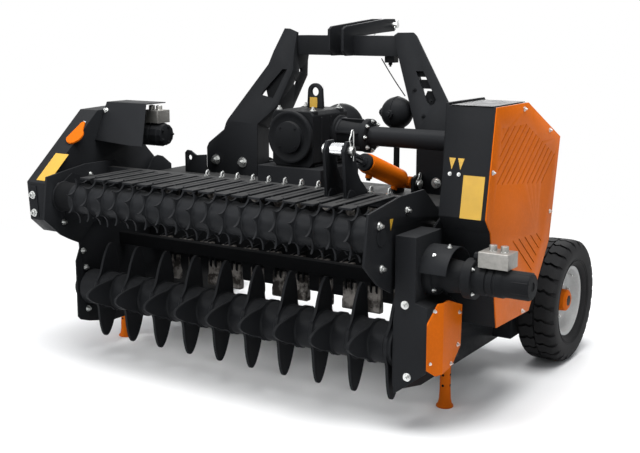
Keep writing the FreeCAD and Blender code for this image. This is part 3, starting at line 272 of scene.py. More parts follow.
def finishes(settings):
    """Every finish of the machine, made once."""
    if FINISHES:
        return FINISHES
    dark = tuple(settings.dark_paint)
    FINISHES.update(
        dark=paint("anthracite powder coat", dark, settings.paint_roughness),
        # the deck's coat is the dark coat made lighter, with more of the light colour on top: painted top
        # light, and dust
        deck=paint("anthracite coat of the deck", tint(dark, 1.15), settings.paint_roughness + 0.06, 0.2),
        cast=paint("black coat on castings", tint(dark, 0.8), 0.5, 0.1),
        orange=paint("orange powder coat", tuple(settings.orange_paint), 0.42, 0.04, (0.5, 0.25, 0.1)),
        plastic=paint("black guard plastic", tint(dark, 0.7), 0.36, 0.03),
        rubber=rubber("tyre rubber", tuple(settings.rubber)),
        rim=paint("silver rim lacquer", (0.36, 0.365, 0.36), 0.4, 0.04, (0.3, 0.28, 0.24), 0.2),
        zinc=bare_metal("zinc plated steel", (0.62, 0.63, 0.62), 0.3),
        block=bare_metal("pale plated valve block", (0.27, 0.265, 0.25), 0.5, bumps=0.08),
        chrome=bare_metal("hard chrome", (0.82, 0.83, 0.85), 0.1, bumps=0.01),
        hammer=bare_metal("worn hammer steel", (0.24, 0.225, 0.21), 0.4, spot=(0.02, 0.016, 0.013),
                          spread=0.5, scale=22.0, bumps=0.5),
        yellow=sign("yellow film", (0.46, 0.27, 0.022)),
        border=sign("black film", (0.02, 0.02, 0.02)),
        white=sign("white film", (0.78, 0.78, 0.76)),
        # A darker copy of the dark coat: painted shade for parts deep in the machine, holes, slots and the
        # backs of openings.
        inside=paint("shaded inner coat", tint(dark, 0.45), 0.7, 0.03),
    )
    return FINISHES


# ---- forms ----

def linked(name, data):
    """A new object in the scene."""
    made = bpy.data.objects.new(name, data)
    bpy.context.scene.collection.objects.link(made)
    return made


def evaluated(holder):
    """The plain mesh that a holder's modifiers make; the holder goes."""
    graph = bpy.context.evaluated_depsgraph_get()
    result = bpy.data.meshes.new_from_object(holder.evaluated_get(graph))
    bpy.data.objects.remove(holder)
    return result


def settle(data, name, finish, body, stands_for=()):
    """Make a finished mesh a piece of the machine that rides on a body."""
    for face in data.polygons:
        face.use_smooth = True
    data.materials.clear()
    data.materials.append(FINISHES[finish])
    piece = linked(name, data)
    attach(piece, body)
    if stands_for:
        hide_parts(*stands_for)
    return piece


def rounded(data, width, segments=2, clamp=True, angle=28):
    """The mesh with its sharp edges rounded and its flat faces kept flat."""
    for face in data.polygons:
        face.use_smooth = True
    holder = linked("holder", data)
    bevel = holder.modifiers.new("edges", "BEVEL")
    bevel.width = width * MM
    bevel.segments = segments
    bevel.limit_method = "ANGLE"
    bevel.angle_limit = math.radians(angle)
    bevel.use_clamp_overlap = clamp
    bevel.harden_normals = True
    return evaluated(holder)


def softened(node, finish, width, flat=True):
    """A rounded, finished copy of a CAD node that stands for it; flat joins what lies in one plane."""
    shape = bmesh.new()
    shape.from_mesh(NODES[node].data)
    bmesh.ops.remove_doubles(shape, verts=shape.verts, dist=1e-5)
    if flat:
        bmesh.ops.dissolve_limit(shape, angle_limit=math.radians(0.5), verts=shape.verts, edges=shape.edges)
    data = bpy.data.meshes.new(node)
    shape.to_mesh(data)
    shape.free()
    return settle(rounded(data, width, clamp=False), node + "_dressed", finish, BODY_OF[node], (node,))


AXES = {"X": (Vector((1, 0, 0)), Vector((0, 1, 0)), Vector((0, 0, 1))),
        "Y": (Vector((0, 1, 0)), Vector((0, 0, 1)), Vector((1, 0, 0))),
        "Z": (Vector((0, 0, 1)), Vector((1, 0, 0)), Vector((0, 1, 0)))}


# Edges sharper than this stay sharp on a shape that isn't bevelled, and on a bolt.
SHARP_DEGREES, BOLT_SHARP_DEGREES = 38, 35


class Form:
    """Collects the surfaces of one piece, in the machine's millimetres."""

    def __init__(self):
        self.shape = bmesh.new()

    def prism(self, outline, axis, low, high):
        """A plate: (across, up) points, or for axis Y (x, z) points, between two planes."""
        def corner(first, second, depth):
            return {"X": (depth, first, second), "Y": (first, depth, second),
                    "Z": (first, second, depth)}[axis]
        return self.slab(*([corner(*pair, depth) for pair in outline] for depth in (low, high)))

    def slab(self, near, far):
        """A closed plate between two outlines with as many corners each."""
        low, high = ([self.shape.verts.new(corner) for corner in outline] for outline in (near, far))
        self.shape.faces.new(low[::-1])
        self.shape.faces.new(high)
        for index in range(len(low)):
            after = (index + 1) % len(low)
            self.shape.faces.new((low[index], low[after], high[after], high[index]))
        return self

    def film(self, corners, thick=0.6):
        """A thin plate on a face; its corners run as seen from the outer side."""
        first, second, third = (Vector(corner) for corner in corners[:3])
        inward = (third - second).cross(second - first).normalized() * thick
        return self.slab(corners, [Vector(corner) + inward for corner in corners])

    def block(self, low, high):
        outline = ((low[0], low[1]), (high[0], low[1]), (high[0], high[1]), (low[0], high[1]))
        return self.prism(outline, "Z", low[2], high[2])

    def turned(self, profile, centre, axis="X", steps=32, closed=False):
        """A lathed surface: (along, radius) points round an axis through the centre."""
        along, side, up = AXES[axis]
        centre = Vector(centre)
        rings = []
        for distance, radius in profile:
            if radius < 1e-6:
                rings.append([self.shape.verts.new(centre + along * distance)])
                continue
            rings.append([self.shape.verts.new(
                centre + along * distance + (side * math.cos(angle) + up * math.sin(angle)) * radius)
                for angle in angles(steps)])
        pairs = list(zip(rings, rings[1:]))
        if closed:
            pairs.append((rings[-1], rings[0]))
        for first, second in pairs:
            for step in range(steps):
                after = (step + 1) % steps
                if len(first) == 1:
                    self.shape.faces.new((first[0], second[step], second[after]))
                elif len(second) == 1:
                    self.shape.faces.new((first[step], second[0], first[after]))
                else:
                    self.shape.faces.new((first[step], second[step], second[after], first[after]))
        return self

    def rod(self, start, axis, length, radius, steps=24):
        """A round bar with edges broken by 1 mm."""
        return self.turned(((0, 0), (0, radius - 1), (1, radius), (length - 1, radius), (length, radius - 1),
                            (length, 0)), start, axis, steps)

    def pipe(self, points, radius, steps=10):
        """A round bar bent along points."""
        points = [Vector(point) for point in points]
        rings = []
        side = None
        for index, point in enumerate(points):
            before = points[max(0, index - 1)]
            after = points[min(len(points) - 1, index + 1)]
            way = (after - before).normalized()
            if side is None:
                side = way.orthogonal().normalized()
            side = (side - way * side.dot(way)).normalized()
            other = way.cross(side)
            rings.append([self.shape.verts.new(point + (side * math.cos(a) + other * math.sin(a)) * radius)
                          for a in angles(steps)])
        for first, second in zip(rings, rings[1:]):
            for step in range(steps):
                after = (step + 1) % steps
                self.shape.faces.new((first[step], first[after], second[after], second[step]))
        self.shape.faces.new(rings[0][::-1])
        self.shape.faces.new(rings[-1])
        return self

    def moved(self, matrix):
        self.shape.transform(matrix)
        return self

    def mesh(self, name, bevel=0.0, local=False, segments=2, angle=28):
        """The collected surfaces in metres, in the row frame unless local."""
        bmesh.ops.recalc_face_normals(self.shape, faces=self.shape.faces)
        offset = Vector() if local else DATUM
        self.shape.transform(Matrix.Translation(offset) @ Matrix.Scale(MM, 4))
        data = bpy.data.meshes.new(name)
        self.shape.to_mesh(data)
        self.shape.free()
        if bevel:
            return rounded(data, bevel, segments, angle=angle)
        data.set_sharp_from_angle(angle=math.radians(SHARP_DEGREES))
        return data

    def piece(self, name, finish, body, bevel=0.0, stands_for=(), segments=2, angle=28):
        return settle(self.mesh(name, bevel, segments=segments, angle=angle), name, finish, body, stands_for)


# ---- repeats ----

def tree(name, inputs):
    """An empty geometry tree with named inputs and its group sockets."""
    group = bpy.data.node_groups.new(name, "GeometryNodeTree")
    group.interface.new_socket("Geometry", in_out="INPUT", socket_type="NodeSocketGeometry")
    for label, kind in inputs:
        group.interface.new_socket(label, in_out="INPUT", socket_type=kind)
    group.interface.new_socket("Geometry", in_out="OUTPUT", socket_type="NodeSocketGeometry")
    return group, group.nodes.new("NodeGroupInput"), group.nodes.new("NodeGroupOutput")


def wired(group, kind, settings=(), *values, **links):
    """A node's first output, with its settings and what its sockets take, in order or by name."""
    made = group.nodes.new(kind)
    for key, value in dict(settings).items():
        setattr(made, key, value)
    for key, value in (*enumerate(values), *links.items()):
        socket = made.inputs[key.replace("_", " ") if isinstance(key, str) else key]
        if isinstance(value, bpy.types.NodeSocket):
            group.links.new(value, socket)
        else:
            socket.default_value = value
    return made.outputs[0]


def maths(group, operation, *values):
    """A Math node on sockets and numbers."""
    return wired(group, "ShaderNodeMath", {"operation": operation}, *values)


def finish_tree(group, geometry, source, output):
    """The tree's end: its instances made real and given the material."""
    real = wired(group, "GeometryNodeRealizeInstances", Geometry=geometry)
    shade = wired(group, "GeometryNodeSetMaterial", Geometry=real, Material=source.outputs["Material"])
    group.links.new(shade, output.inputs[0])
    return group


def row_tree():
    """The input shape repeated in a straight row."""
    group, source, output = tree("row of equal pieces", (
        ("Count", "NodeSocketInt"), ("Start", "NodeSocketVector"), ("Step", "NodeSocketVector"),
        ("Material", "NodeSocketMaterial")))
    sockets = source.outputs
    line = wired(group, "GeometryNodeMeshLine", Count=sockets["Count"], Start_Location=sockets["Start"],
                 Offset=sockets["Step"])
    copies = wired(group, "GeometryNodeInstanceOnPoints", Points=line, Instance=sockets["Geometry"])
    return finish_tree(group, copies, source, output)


def ring_tree():
    """The input shape repeated round the X axis and set at a centre."""
    group, source, output = tree("ring of equal pieces", (
        ("Count", "NodeSocketInt"), ("Turn", "NodeSocketFloat"), ("Centre", "NodeSocketVector"),
        ("Material", "NodeSocketMaterial")))
    sockets = source.outputs
    line = wired(group, "GeometryNodeMeshLine", Count=sockets["Count"], Offset=(0, 0, 0))
    step = maths(group, "DIVIDE", 2 * math.pi, sockets["Count"])
    turn = maths(group, "MULTIPLY_ADD", wired(group, "GeometryNodeInputIndex"), step, sockets["Turn"])
    copies = wired(group, "GeometryNodeInstanceOnPoints", Points=line, Instance=sockets["Geometry"],
                   Rotation=wired(group, "ShaderNodeCombineXYZ", X=turn))
    placed = wired(group, "GeometryNodeTransform", Geometry=copies, Translation=sockets["Centre"])
    return finish_tree(group, placed, source, output)


# Sizes of a bolt's parts as shares of its head's radius or height.
WASHER_RADIUS, THREAD_RADIUS = 1.35, 0.52
WASHER_HEIGHT, THREAD_HEIGHT = 0.25, 1.9


def bolt_tree():
    """A washer, a six-sided nut and a thread's end on each point, looking along the point's facing."""
    group, source, output = tree("washer and nut on each point", (
        ("Washer radius", "NodeSocketFloat"), ("Head radius", "NodeSocketFloat"),
        ("Head height", "NodeSocketFloat"), ("Material", "NodeSocketMaterial")))
    head, tall = source.outputs["Head radius"], source.outputs["Head height"]
    join = group.nodes.new("GeometryNodeJoinGeometry")
    for sides, radius, height in (
        (14, source.outputs["Washer radius"], maths(group, "MULTIPLY", tall, WASHER_HEIGHT)),
        (6, head, tall),
        (10, maths(group, "MULTIPLY", head, THREAD_RADIUS), maths(group, "MULTIPLY", tall, THREAD_HEIGHT)),
    ):
        drum = wired(group, "GeometryNodeMeshCylinder", Vertices=sides, Radius=radius, Depth=height)
        lift = wired(group, "ShaderNodeCombineXYZ", Z=maths(group, "MULTIPLY", height, 0.5))
        lifted = wired(group, "GeometryNodeTransform", Geometry=drum, Translation=lift)
        group.links.new(lifted, join.inputs[0])
    facing = wired(group, "GeometryNodeInputNamedAttribute", {"data_type": "FLOAT_VECTOR"}, Name="facing")
    size = wired(group, "GeometryNodeInputNamedAttribute", {"data_type": "FLOAT"}, Name="size")
    turn = wired(group, "FunctionNodeAlignRotationToVector", {"axis": "Z"}, Vector=facing)
    copies = wired(group, "GeometryNodeInstanceOnPoints", Points=source.outputs["Geometry"],
                   Instance=join.outputs[0], Rotation=turn, Scale=size)
    return finish_tree(group, copies, source, output)


TREES = {}


def grown(data, which, finish, **inputs):
    """The plain mesh that a geometry tree makes of a mesh."""
    if which not in TREES:
        TREES[which] = {"row": row_tree, "ring": ring_tree, "bolt": bolt_tree}[which]()
    group = TREES[which]
    holder = linked("holder", data)
    growth = holder.modifiers.new("repeat", "NODES")
    growth.node_group = group
    sockets = {item.name.replace(" ", "_").lower(): item.identifier
               for item in group.interface.items_tree if item.in_out == "INPUT"}
    for key, value in {"material": FINISHES[finish], **inputs}.items():
        growth[sockets[key]] = value
    holder.update_tag()
    return evaluated(holder)


WAYS = {"+x": (1, 0, 0), "-y": (0, -1, 0), "+z": (0, 0, 1)}
HEAD_RADIUS, HEAD_HEIGHT = 8.0, 7.0


def bolts(name, body, places, finish="zinc"):
    """Washers and nuts in one piece: (x, y, z, way, size) in the machine's millimetres."""
    data = bpy.data.meshes.new(name)
    data.from_pydata([at(*place[:3]) for place in places], [], [])
    data.attributes.new("facing", "FLOAT_VECTOR", "POINT")
    data.attributes.new("size", "FLOAT", "POINT")
    for index, place in enumerate(places):
        data.attributes["facing"].data[index].vector = WAYS.get(place[3], place[3])
        data.attributes["size"].data[index].value = place[4]
    shape = grown(data, "bolt", finish, washer_radius=HEAD_RADIUS * WASHER_RADIUS * MM,
                  head_radius=HEAD_RADIUS * MM, head_height=HEAD_HEIGHT * MM)
    shape.set_sharp_from_angle(angle=math.radians(BOLT_SHARP_DEGREES))
    return settle(shape, name, finish, body)


def bolt_ring(name, body, x, y, z, radius, count, size, start=0.0, finish="zinc"):
    """Bolts on a circle round a line along X, looking to +x."""
    bolts(name, body, [(x, y + radius * math.cos(a), z + radius * math.sin(a), "+x", size)
                       for a in angles(count, start)], finish)


def row(form, name, finish, body, count, start, step, bevel=0.0, stands_for=()):
    """A form repeated in a row; start is the machine's point of the first."""
    shape = grown(form.mesh(name, bevel, local=True), "row", finish, count=count,
                  start=at(*start), step=Vector(step) * MM)
    return settle(shape, name, finish, body, stands_for)


def ring(form, name, finish, body, count, centre, turn=0.0, bevel=0.0, stands_for=()):
    """A form repeated round the X axis through a point of the machine."""
    shape = grown(form.mesh(name, bevel, local=True), "ring", finish, count=count, turn=turn,
                  centre=at(*centre))
    return settle(shape, name, finish, body, stands_for)


# ---- settings ----

class MulcherSettings(bpy.types.PropertyGroup):
    dark_paint: FloatVectorProperty(name="Dark coat", description="Colour of the frame's powder coat",
                                    subtype="COLOR", size=3, default=(0.0125, 0.0132, 0.0145))
    orange_paint: FloatVectorProperty(name="Orange coat", description="Colour of guards and legs",
                                      subtype="COLOR", size=3, default=(0.48, 0.1, 0.004))
    rubber: FloatVectorProperty(name="Rubber", description="Colour of the tyres",
                                subtype="COLOR", size=3, default=(0.013, 0.013, 0.0135))
    paint_roughness: FloatProperty(name="Coat roughness", description="How dull the dark coat is",
                                   default=0.4, min=0.1, max=0.9)
    edge: FloatProperty(name="Edge radius", description="Rounding of sheet edges, in millimetres",
                        default=1.3, min=0.3, max=4.0)


class WheelSettings(bpy.types.PropertyGroup):
    tread_blocks: IntProperty(name="Tread blocks", description="Blocks in one row round a tyre",
                              default=27, min=12, max=48)
    groove: FloatProperty(name="Groove depth", description="Depth of the tread, in millimetres",
                          default=11.0, min=3.0, max=14.0)
    wheel_bolts: IntProperty(name="Wheel bolts", description="Bolts that hold a rim",
                             default=5, min=3, max=10)


class RollerSettings(bpy.types.PropertyGroup):
    double_claws: IntProperty(name="Double claws", description="Double claws on the pick-up roller",
                              default=19, min=5, max=31)
    toothed_discs: IntProperty(name="Toothed discs", description="Discs on the feed roller",
                               default=18, min=8, max=24)
    teeth: IntProperty(name="Teeth", description="Teeth on one disc", default=8, min=5, max=12)
    hammers: IntProperty(name="Hammers", description="Hammers in one of the rotor's four rows",
                         default=12, min=6, max=20)


# ---- the pieces ----

# Places on the machine in its own millimetres: the rows of claws and discs, the hitch's middle, the height
# of the input shaft, the axes of rollers and motors, the wheels, the parking legs and the cylinder's ends.
FIRST_CLAW, CLAW_PITCH = -643.5, 75.5
FIRST_DISC, DISC_PITCH = -608.0, 74.2
HITCH = (middle("gearbox").x - DATUM.x) / MM - 5
SHAFT = middle("shaft_guard").z / MM
FEED_AXIS, PICKUP_AXIS, ROTOR_AXIS = (0, -650, 693), (0, -504, 290), (0, -60, 455)
FEED_MOTOR, PICKUP_MOTOR = (0, -280, 920), (0, -470, 551)
SIDE_BEARING_Y, SIDE_NECK_X = -60, HITCH + 93
WHEEL_OUT, WHEEL_Y, TYRE_RADIUS = 920, 497, 252
LEG_OUT, LEG_Y, LEG_PIN_Z, LEG_RADIUS = 790, -260, 232, 20
BARREL_EYE, ROD_EYE = Vector((486, -15, 770)), Vector((486, -510, 946))
DAMPER = (385, 85, 1025)


class MULCHER_OT_housing(bpy.types.Operator):
    """Rounded sheets of the rotor housing and what stands on it"""
    bl_idname = "mulcher.housing"
    bl_label = "Rotor housing"

    def execute(self, context):
        settings = context.scene.mulcher
        finishes(settings)
        edge = settings.edge
        for node, finish in (
            ("left_side_plate", "dark"), ("right_side_plate", "dark"), ("rotor_hood", "deck"),
            # the counter blade takes the darker coat: painted shade between the rollers
            ("rear_cross_tube", "dark"), ("counter_blade", "inside"), ("bearing_housings", "cast"),
            ("deck_lug", "dark"), ("left_lower_hitch", "dark"), ("right_lower_hitch", "dark"),
            ("gearbox_platform", "dark"), ("belt_guard_carrier", "dark"), ("pivot_pins", "zinc"),
            ("left_wheel_arm", "dark"), ("right_wheel_arm", "dark"),
        ):
            softened(node, finish, edge)
        # lower hitch: bosses round the holes and a brace between each two plates
        fork_spread, plate_spread, eye_y, eye_z = 412.5, 43, 470, 640
        rings = Form()
        for side in (-1, 1):
            fork = HITCH + side * fork_spread
            for plate in (-1, 1):
                outer = fork + plate * plate_spread
                rings.turned(((0, 15), (0, 30), (plate * 3, 32), (plate * 7, 30), (plate * 7, 15)),
                             (outer, eye_y, eye_z), "X", 28, closed=True)
            rings.block((fork - 31, 240, 560), (fork + 31, 250, 690))
        rings.piece("hitch_bosses", "dark", "chassis", 1.5)
        # stiffeners and the flap's hinges on the rear wall
        ribs = Form()
        for x in (-560, -280, 0, 280, 560):
            ribs.prism(((428, 150), (436, 150), (441, 165), (437, 392), (311, 568), (305, 562), (428, 388)),
                       "X", x - 4, x + 4)
        ribs.piece("rear_ribs", "dark", "chassis", 1.0)
        hinge = Form()
        for x in (-620, -310, 0, 310, 620):
            hinge.rod((x - 38, 438, 132), "X", 76, 7, 14)
            hinge.block((x - 30, 437, 138), (x + 30, 442, 176))
        hinge.piece("rear_hinges", "dark", "chassis", 0.8)
        bolts("side_plate_bolts", "chassis",
              [(-745, y, z, "+x", 1.2) for y, z in ((-540, 447), (-528, 374), (-526, 196))])
        Form().block((-744, -206, 700), (744, -199, 727)).piece("hood_lip", "dark", "chassis", 1.0)
        return {"FINISHED"}


class MULCHER_OT_headstock(bpy.types.Operator):
    """Legs, top beam and top link plates with their pins"""
    bl_idname = "mulcher.headstock"
    bl_label = "Headstock"

    def execute(self, context):
        settings = context.scene.mulcher
        for node in ("top_beam", "top_link_bracket"):
            softened(node, "dark", settings.edge)
        for node in ("headstock_left_leg", "headstock_right_leg"):
            softened(node, "dark", 0.8, flat=False)
        # dark sheets behind the legs' openings: painted shade
        leg_shade_sheet("left", -1, (((252, 1192), (300, 1192), (364, 1100), (345, 1058), (300, 1058)),))
        leg_shade_sheet("right", 1, (((335, 1196), (385, 1196), (398, 1168), (345, 1168)),
                               ((346, 1158), (404, 1158), (424, 1124), (372, 1124)),
                               ((404, 1116), (430, 1116), (452, 1085), (446, 1058), (400, 1058),
                                (396, 1090))))
        softened("top_link_pin", "zinc", 1.5)
        left, right = span("top_link_pin")
        y, z = (sum(span("top_link_pin", axis)) / 2 for axis in "yz")
        grip = Form()
        grip.turned(((0, 0), (0, 15), (2, 18), (8, 18), (10, 15), (10, 12)), (left, y, z), "X", 24)
        grip.pipe([(left + 5, y, z - 14), (left + 4, y - 4, z - 34), (left + 10, y - 16, z - 46),
                   (left + 20, y - 30, z - 50)], 4.5)
        grip.piece("top_pin_grip", "zinc", "chassis")
        clip(right - 9, y, z, 13, 33, "top_pin_clip", "chassis", lean=0.35)
        screw = ((0, 0), (0, 9), (-9, 9), (-10, 5), (-16, 5), (-17, 0))
        Form().turned(screw, (HITCH + 192, 168, 1217), "Z", 6).piece("stop_screw", "cast", "chassis")
        cable()
        bolts("leg_bolts", "chassis", [
            (-488, 30, 784, "-y", 2.1), (-342, 30, 782, "-y", 2.1), (HITCH + 478, 30, 770, "-y", 1.9)])
        leaning = (0, -0.97, 0.24)
        bolts("leg_nuts", "chassis", [(HITCH + out, y, z, leaning, size) for out, y, z, size in (
            (407, 47, 1022, 0.8), (354, 71, 1119, 0.8), (431, 62, 1080, 0.6))], "cast")
        return {"FINISHED"}


# The legs' front face leans back by this many degrees above a foot at this y and z.
LEG_LEAN, LEG_FOOT = 14, (30, 950)


def leg_shade_sheet(side, sign, sheets):
    """Dark sheets of painted shade behind the openings of a leaning leg: corners as distance from the middle
    and height.
    """
    shade_sheet = Form()
    for corners in sheets:
        shade_sheet.slab(*([(HITCH + sign * out,
                       LEG_FOOT[0] + math.tan(math.radians(LEG_LEAN)) * (up - LEG_FOOT[1]) + back, up)
                      for out, up in corners] for back in (13, 15)))
    shade_sheet.piece(side + "_leg_liner", "inside", "chassis")


def clip(x, y, z, pin, length, name, body, lean=0.0):
    """A spring clip through a pin's end: one straight leg and one waved leg."""
    points = []
    for along in [step / 24 for step in range(25)]:
        wave = math.sin(along * math.pi) * (5 + 11 * math.sin(along * math.pi * 2) ** 2)
        points.append((x + lean * along * length * 0.4, y - 4 - wave, z - pin * 1.5 + along * length))
    tip = points[-1]
    loop = [(tip[0], tip[1] + 7 - 7 * math.cos(a), tip[2] + 8 * math.sin(a)) for a in angles(16)[1:9]]
    straight = [(x, y + 10, z + length * part) for part in (0.5, 0.0, -0.42)]
    Form().pipe(points + loop + straight, 2.2, 8).piece(name, "zinc", body)


def cable():
    """The thin release cable from the beam's stop to the right leg."""
    start, end = at(HITCH + 151, 168, 1232), at(HITCH + 300, 96, 1092)
    diameter, sag, slack, spans = 0.0044, 0.004, 1.003, 5
    curve = bpy.data.curves.new("release_cable", "CURVE")
    curve.dimensions = "3D"
    curve.bevel_depth = diameter / 2
    curve.bevel_resolution = 2
    line = curve.splines.new("NURBS")
    line.points.add(spans)
    for index in range(spans + 1):
        part = index / spans
        point = start.lerp(end, part) - Vector((0, 0, sag * math.sin(math.pi * part)))
        line.points[index].co = (*point, 1.0)
    line.order_u = 3
    line.use_endpoint_u = True
    curve.materials.append(FINISHES["cast"])
    piece = linked("release_cable", curve)
    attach(piece, "chassis")


class MULCHER_OT_gearbox(bpy.types.Operator):
    """Cast gearbox, lifting eye, input shaft with its guard, and the drive tube"""
    bl_idname = "mulcher.gearbox"
    bl_label = "Gearbox"

    def execute(self, context):
        x, z = HITCH, SHAFT
        front = span("gearbox", "y")[0] + 34
        box = Form()
        side = ((78, -115), (95, -98), (95, 84), (80, 99))
        box.prism([(x + across, z + up) for across, up in mirrored(side)], "Y", front, -2)
        for side in (-1, 1):
            for depth in (front + 26, -40):
                box.block((x + side * 78 - 16, depth - 14, z + 78), (x + side * 78 + 16, depth + 14, z + 100))
            box.block((x + side * 60 - 30, front + 20, z - 115), (x + side * 60 + 30, -22, z - 106))
        for depth in (front + 60, front + 125, front + 190):
            box.block((x + 70, depth - 5, z - 92), (x + 99, depth + 5, z + 76))
        box.piece("gearbox_casting", "cast", "chassis", 5.0, ("gearbox",), segments=3)
        cover = Form()
        cover.turned(((-2, 99), (-8, 100), (-20, 100), (-22, 98), (-22, 88), (-20, 86), (-20, 62), (-24, 60),
                      (-33, 60), (-34, 58), (-34, 0)), (x, front, z), "Y", 64)
        cover.piece("gearbox_cover", "cast", "chassis", 0.8, angle=50)
        bolts("cover_screws", "chassis", [(x + 49 * math.cos(a), front - 34, z + 49 * math.sin(a), "-y", 0.42)
                                          for a in angles(4, math.pi / 4)], "cast")
        bolts("casting_bolts", "chassis", [(x + side * 78, depth, z + 100, "+z", 1.15)
                                           for side in (-1, 1) for depth in (front + 26, -40)])
        neck = Form()
        neck_root = (SIDE_NECK_X, SIDE_BEARING_Y, z)
        neck.turned(((0, 70), (4, 74), (14, 74), (20, 62), (90, 54), (120, 54), (126, 66), (146, 66),
                     (150, 62), (150, 37)), neck_root, "X", 48)
        neck.piece("side_neck", "cast", "chassis", 1.0, angle=50)
        ribs = Form().block((20, -4, 52), (124, 4, 68))
        ring(ribs, "side_neck_ribs", "cast", "chassis", 6, neck_root, 0.3, bevel=1.5)
        bolt_ring("neck_bolts", "chassis", SIDE_NECK_X + 150, SIDE_BEARING_Y, z, 57, 8, 0.8)
        root = x + 119
        length = span("drive_tube")[1] - root
        tube = Form()
        tube.turned(((-30, 66), (-2, 66), (0, 64), (0, 40), (3, 37.5), (length, 37.5), (length, 30),
                     (-30, 30)), (root, SIDE_BEARING_Y, z), "X", 48, closed=True)
        tube.piece("drive_tube_dressed", "dark", "chassis", 1.0, ("drive_tube",), angle=50)
        # input shaft, splined, in its ribbed guard
        shaft = Form()
        shaft.turned(((-4, 46), (36, 46), (40, 42), (40, 15.5), (130, 15.5), (136, 12), (136, 0)),
                     (x, 0, z), "Y", 32)
        for angle in angles(6):
            spline = Form().block((-4, 44, 14), (4, 132, 17.4))
            spline.moved(Matrix.Translation((x, 0, z)) @ Matrix.Rotation(angle, 4, "Y"))
            data = bpy.data.meshes.new("spline")
            spline.shape.to_mesh(data)
            shaft.shape.from_mesh(data)
            bpy.data.meshes.remove(data)
            spline.shape.free()
        shaft.piece("input_shaft", "zinc", "chassis", 0.5)
        guard = Form()
        walls = [(0, 60), (2, 86), (30, 90), (34, 92), (60, 95), (64, 97), (92, 100), (96, 102), (116, 104.5)]
        guard.turned(walls + [(118, 104.5), (118, 101), (116, 100)] + [(a, r - 4) for a, r in walls[::-1]],
                     (x, 0, z), "Y", 56, closed=True)
        guard.piece("shaft_guard_dressed", "plastic", "chassis", 0.0, ("shaft_guard",))
        # lifting eye with its blank film
        softened("lifting_eye", "dark", 2.2)
        face = span("lifting_eye", "y")[0]
        Form().block((x - 17, face - 0.8, z + 103), (x + 17, face + 1, z + 142)).piece(
            "eye_film", "yellow", "chassis")
        plug = ((0, 0), (0, 15), (10, 15), (12, 10), (24, 10), (25, 0))
        Form().turned(plug, (x + 95, -130, z - 84), "X", 6).piece("drain_plug", "zinc", "chassis", 0.6)
        return {"FINISHED"}


class MULCHER_OT_belt_guard(bpy.types.Operator):
    """Belt guard, its slotted panel, screws and blank films"""
    bl_idname = "mulcher.belt_guard"
    bl_label = "Belt guard"

    def execute(self, context):
        settings = context.scene.mulcher
        softened("belt_guard", "dark", settings.edge + 0.4)
        softened("belt_guard_panel", "orange", 0.6)
        face = span("belt_guard_panel")[1]
        bolts("panel_screws", "chassis", [(face, y, z, "+x", 0.8) for y, z in (
            (-136, 1084), (115, 990), (-388, 893), (150, 683), (-84, 352))])
        # a dark sheet behind the slots: painted shade inside the guard
        back = Form().prism(((-361, 1096), (-101, 1096), (221, 952), (151, 578), (-23, 346), (-308, 354),
                             (-381, 692), (-421, 744)), "X", face - 24, face - 21)
        back.piece("belt_guard_lining", "inside", "chassis")
        Form().block((838, -370, 1106), (992, -102, 1107.4)).piece("guard_roof_seam", "dark", "chassis", 0.4)

        foot_y, foot_z, head_y, head_z, proud = -429, 740, -368, 1104, 0.9

        def on_band(x, z):
            """A point just proud of the guard's leaning front band, at a height."""
            return (x, foot_y + (head_y - foot_y) * (z - foot_z) / (head_z - foot_z) - proud, z)

        corners = [on_band(*corner) for corner in ((909, 880), (986, 880), (986, 739), (909, 739))]
        Form().film(corners).piece("band_film", "yellow", "chassis")
        marks = Form()
        for x in (863, 895):
            marks.film([on_band(x - 12, 934), on_band(x + 12, 934), on_band(x, 896)])
        marks.piece("band_marks", "yellow", "chassis")
        bolts("band_screws", "chassis", [(*on_band(x, 881), (0, -0.986, 0.165), 0.62) for x in (858, 891)])
        return {"FINISHED"}


def disc_outline(teeth, ring_radius, hollow, turn, steps=10):
    """A toothed disc's rim: round hollows that meet in sharp teeth."""
    half = math.pi / teeth
    chord = ring_radius * math.sin(half)
    tip = ring_radius * math.cos(half) - math.sqrt(max(0.0, hollow ** 2 - chord ** 2))
    swing = math.atan2(tip * math.sin(half), ring_radius - tip * math.cos(half))
    points = []
    for tooth in range(teeth):
        facing = turn + 2 * half * tooth
        across, up = ring_radius * math.cos(facing), ring_radius * math.sin(facing)
        for step in range(steps):
            angle = facing + math.pi + swing - 2 * swing * step / steps
            points.append((across + hollow * math.cos(angle), up + hollow * math.sin(angle)))
    return points


def claw_outline(turn):
    """A double claw's rim: a round hub with two opposite, slightly bulging claws."""
    side = ((62, 82), (46, 83), (38, 88), (30, 99), (23, 116), (17, 136), (12, 156), (8, 174), (5, 186),
            (2.4, 193.5))
    half = [*side, (0, 195), *((-angle, reach) for angle, reach in side[::-1])]
    points = []
    for claw in (0, 180):
        for angle, reach in half:
            angle = math.radians(turn - claw + angle)
            points.append((reach * math.cos(angle), reach * math.sin(angle)))
    return points


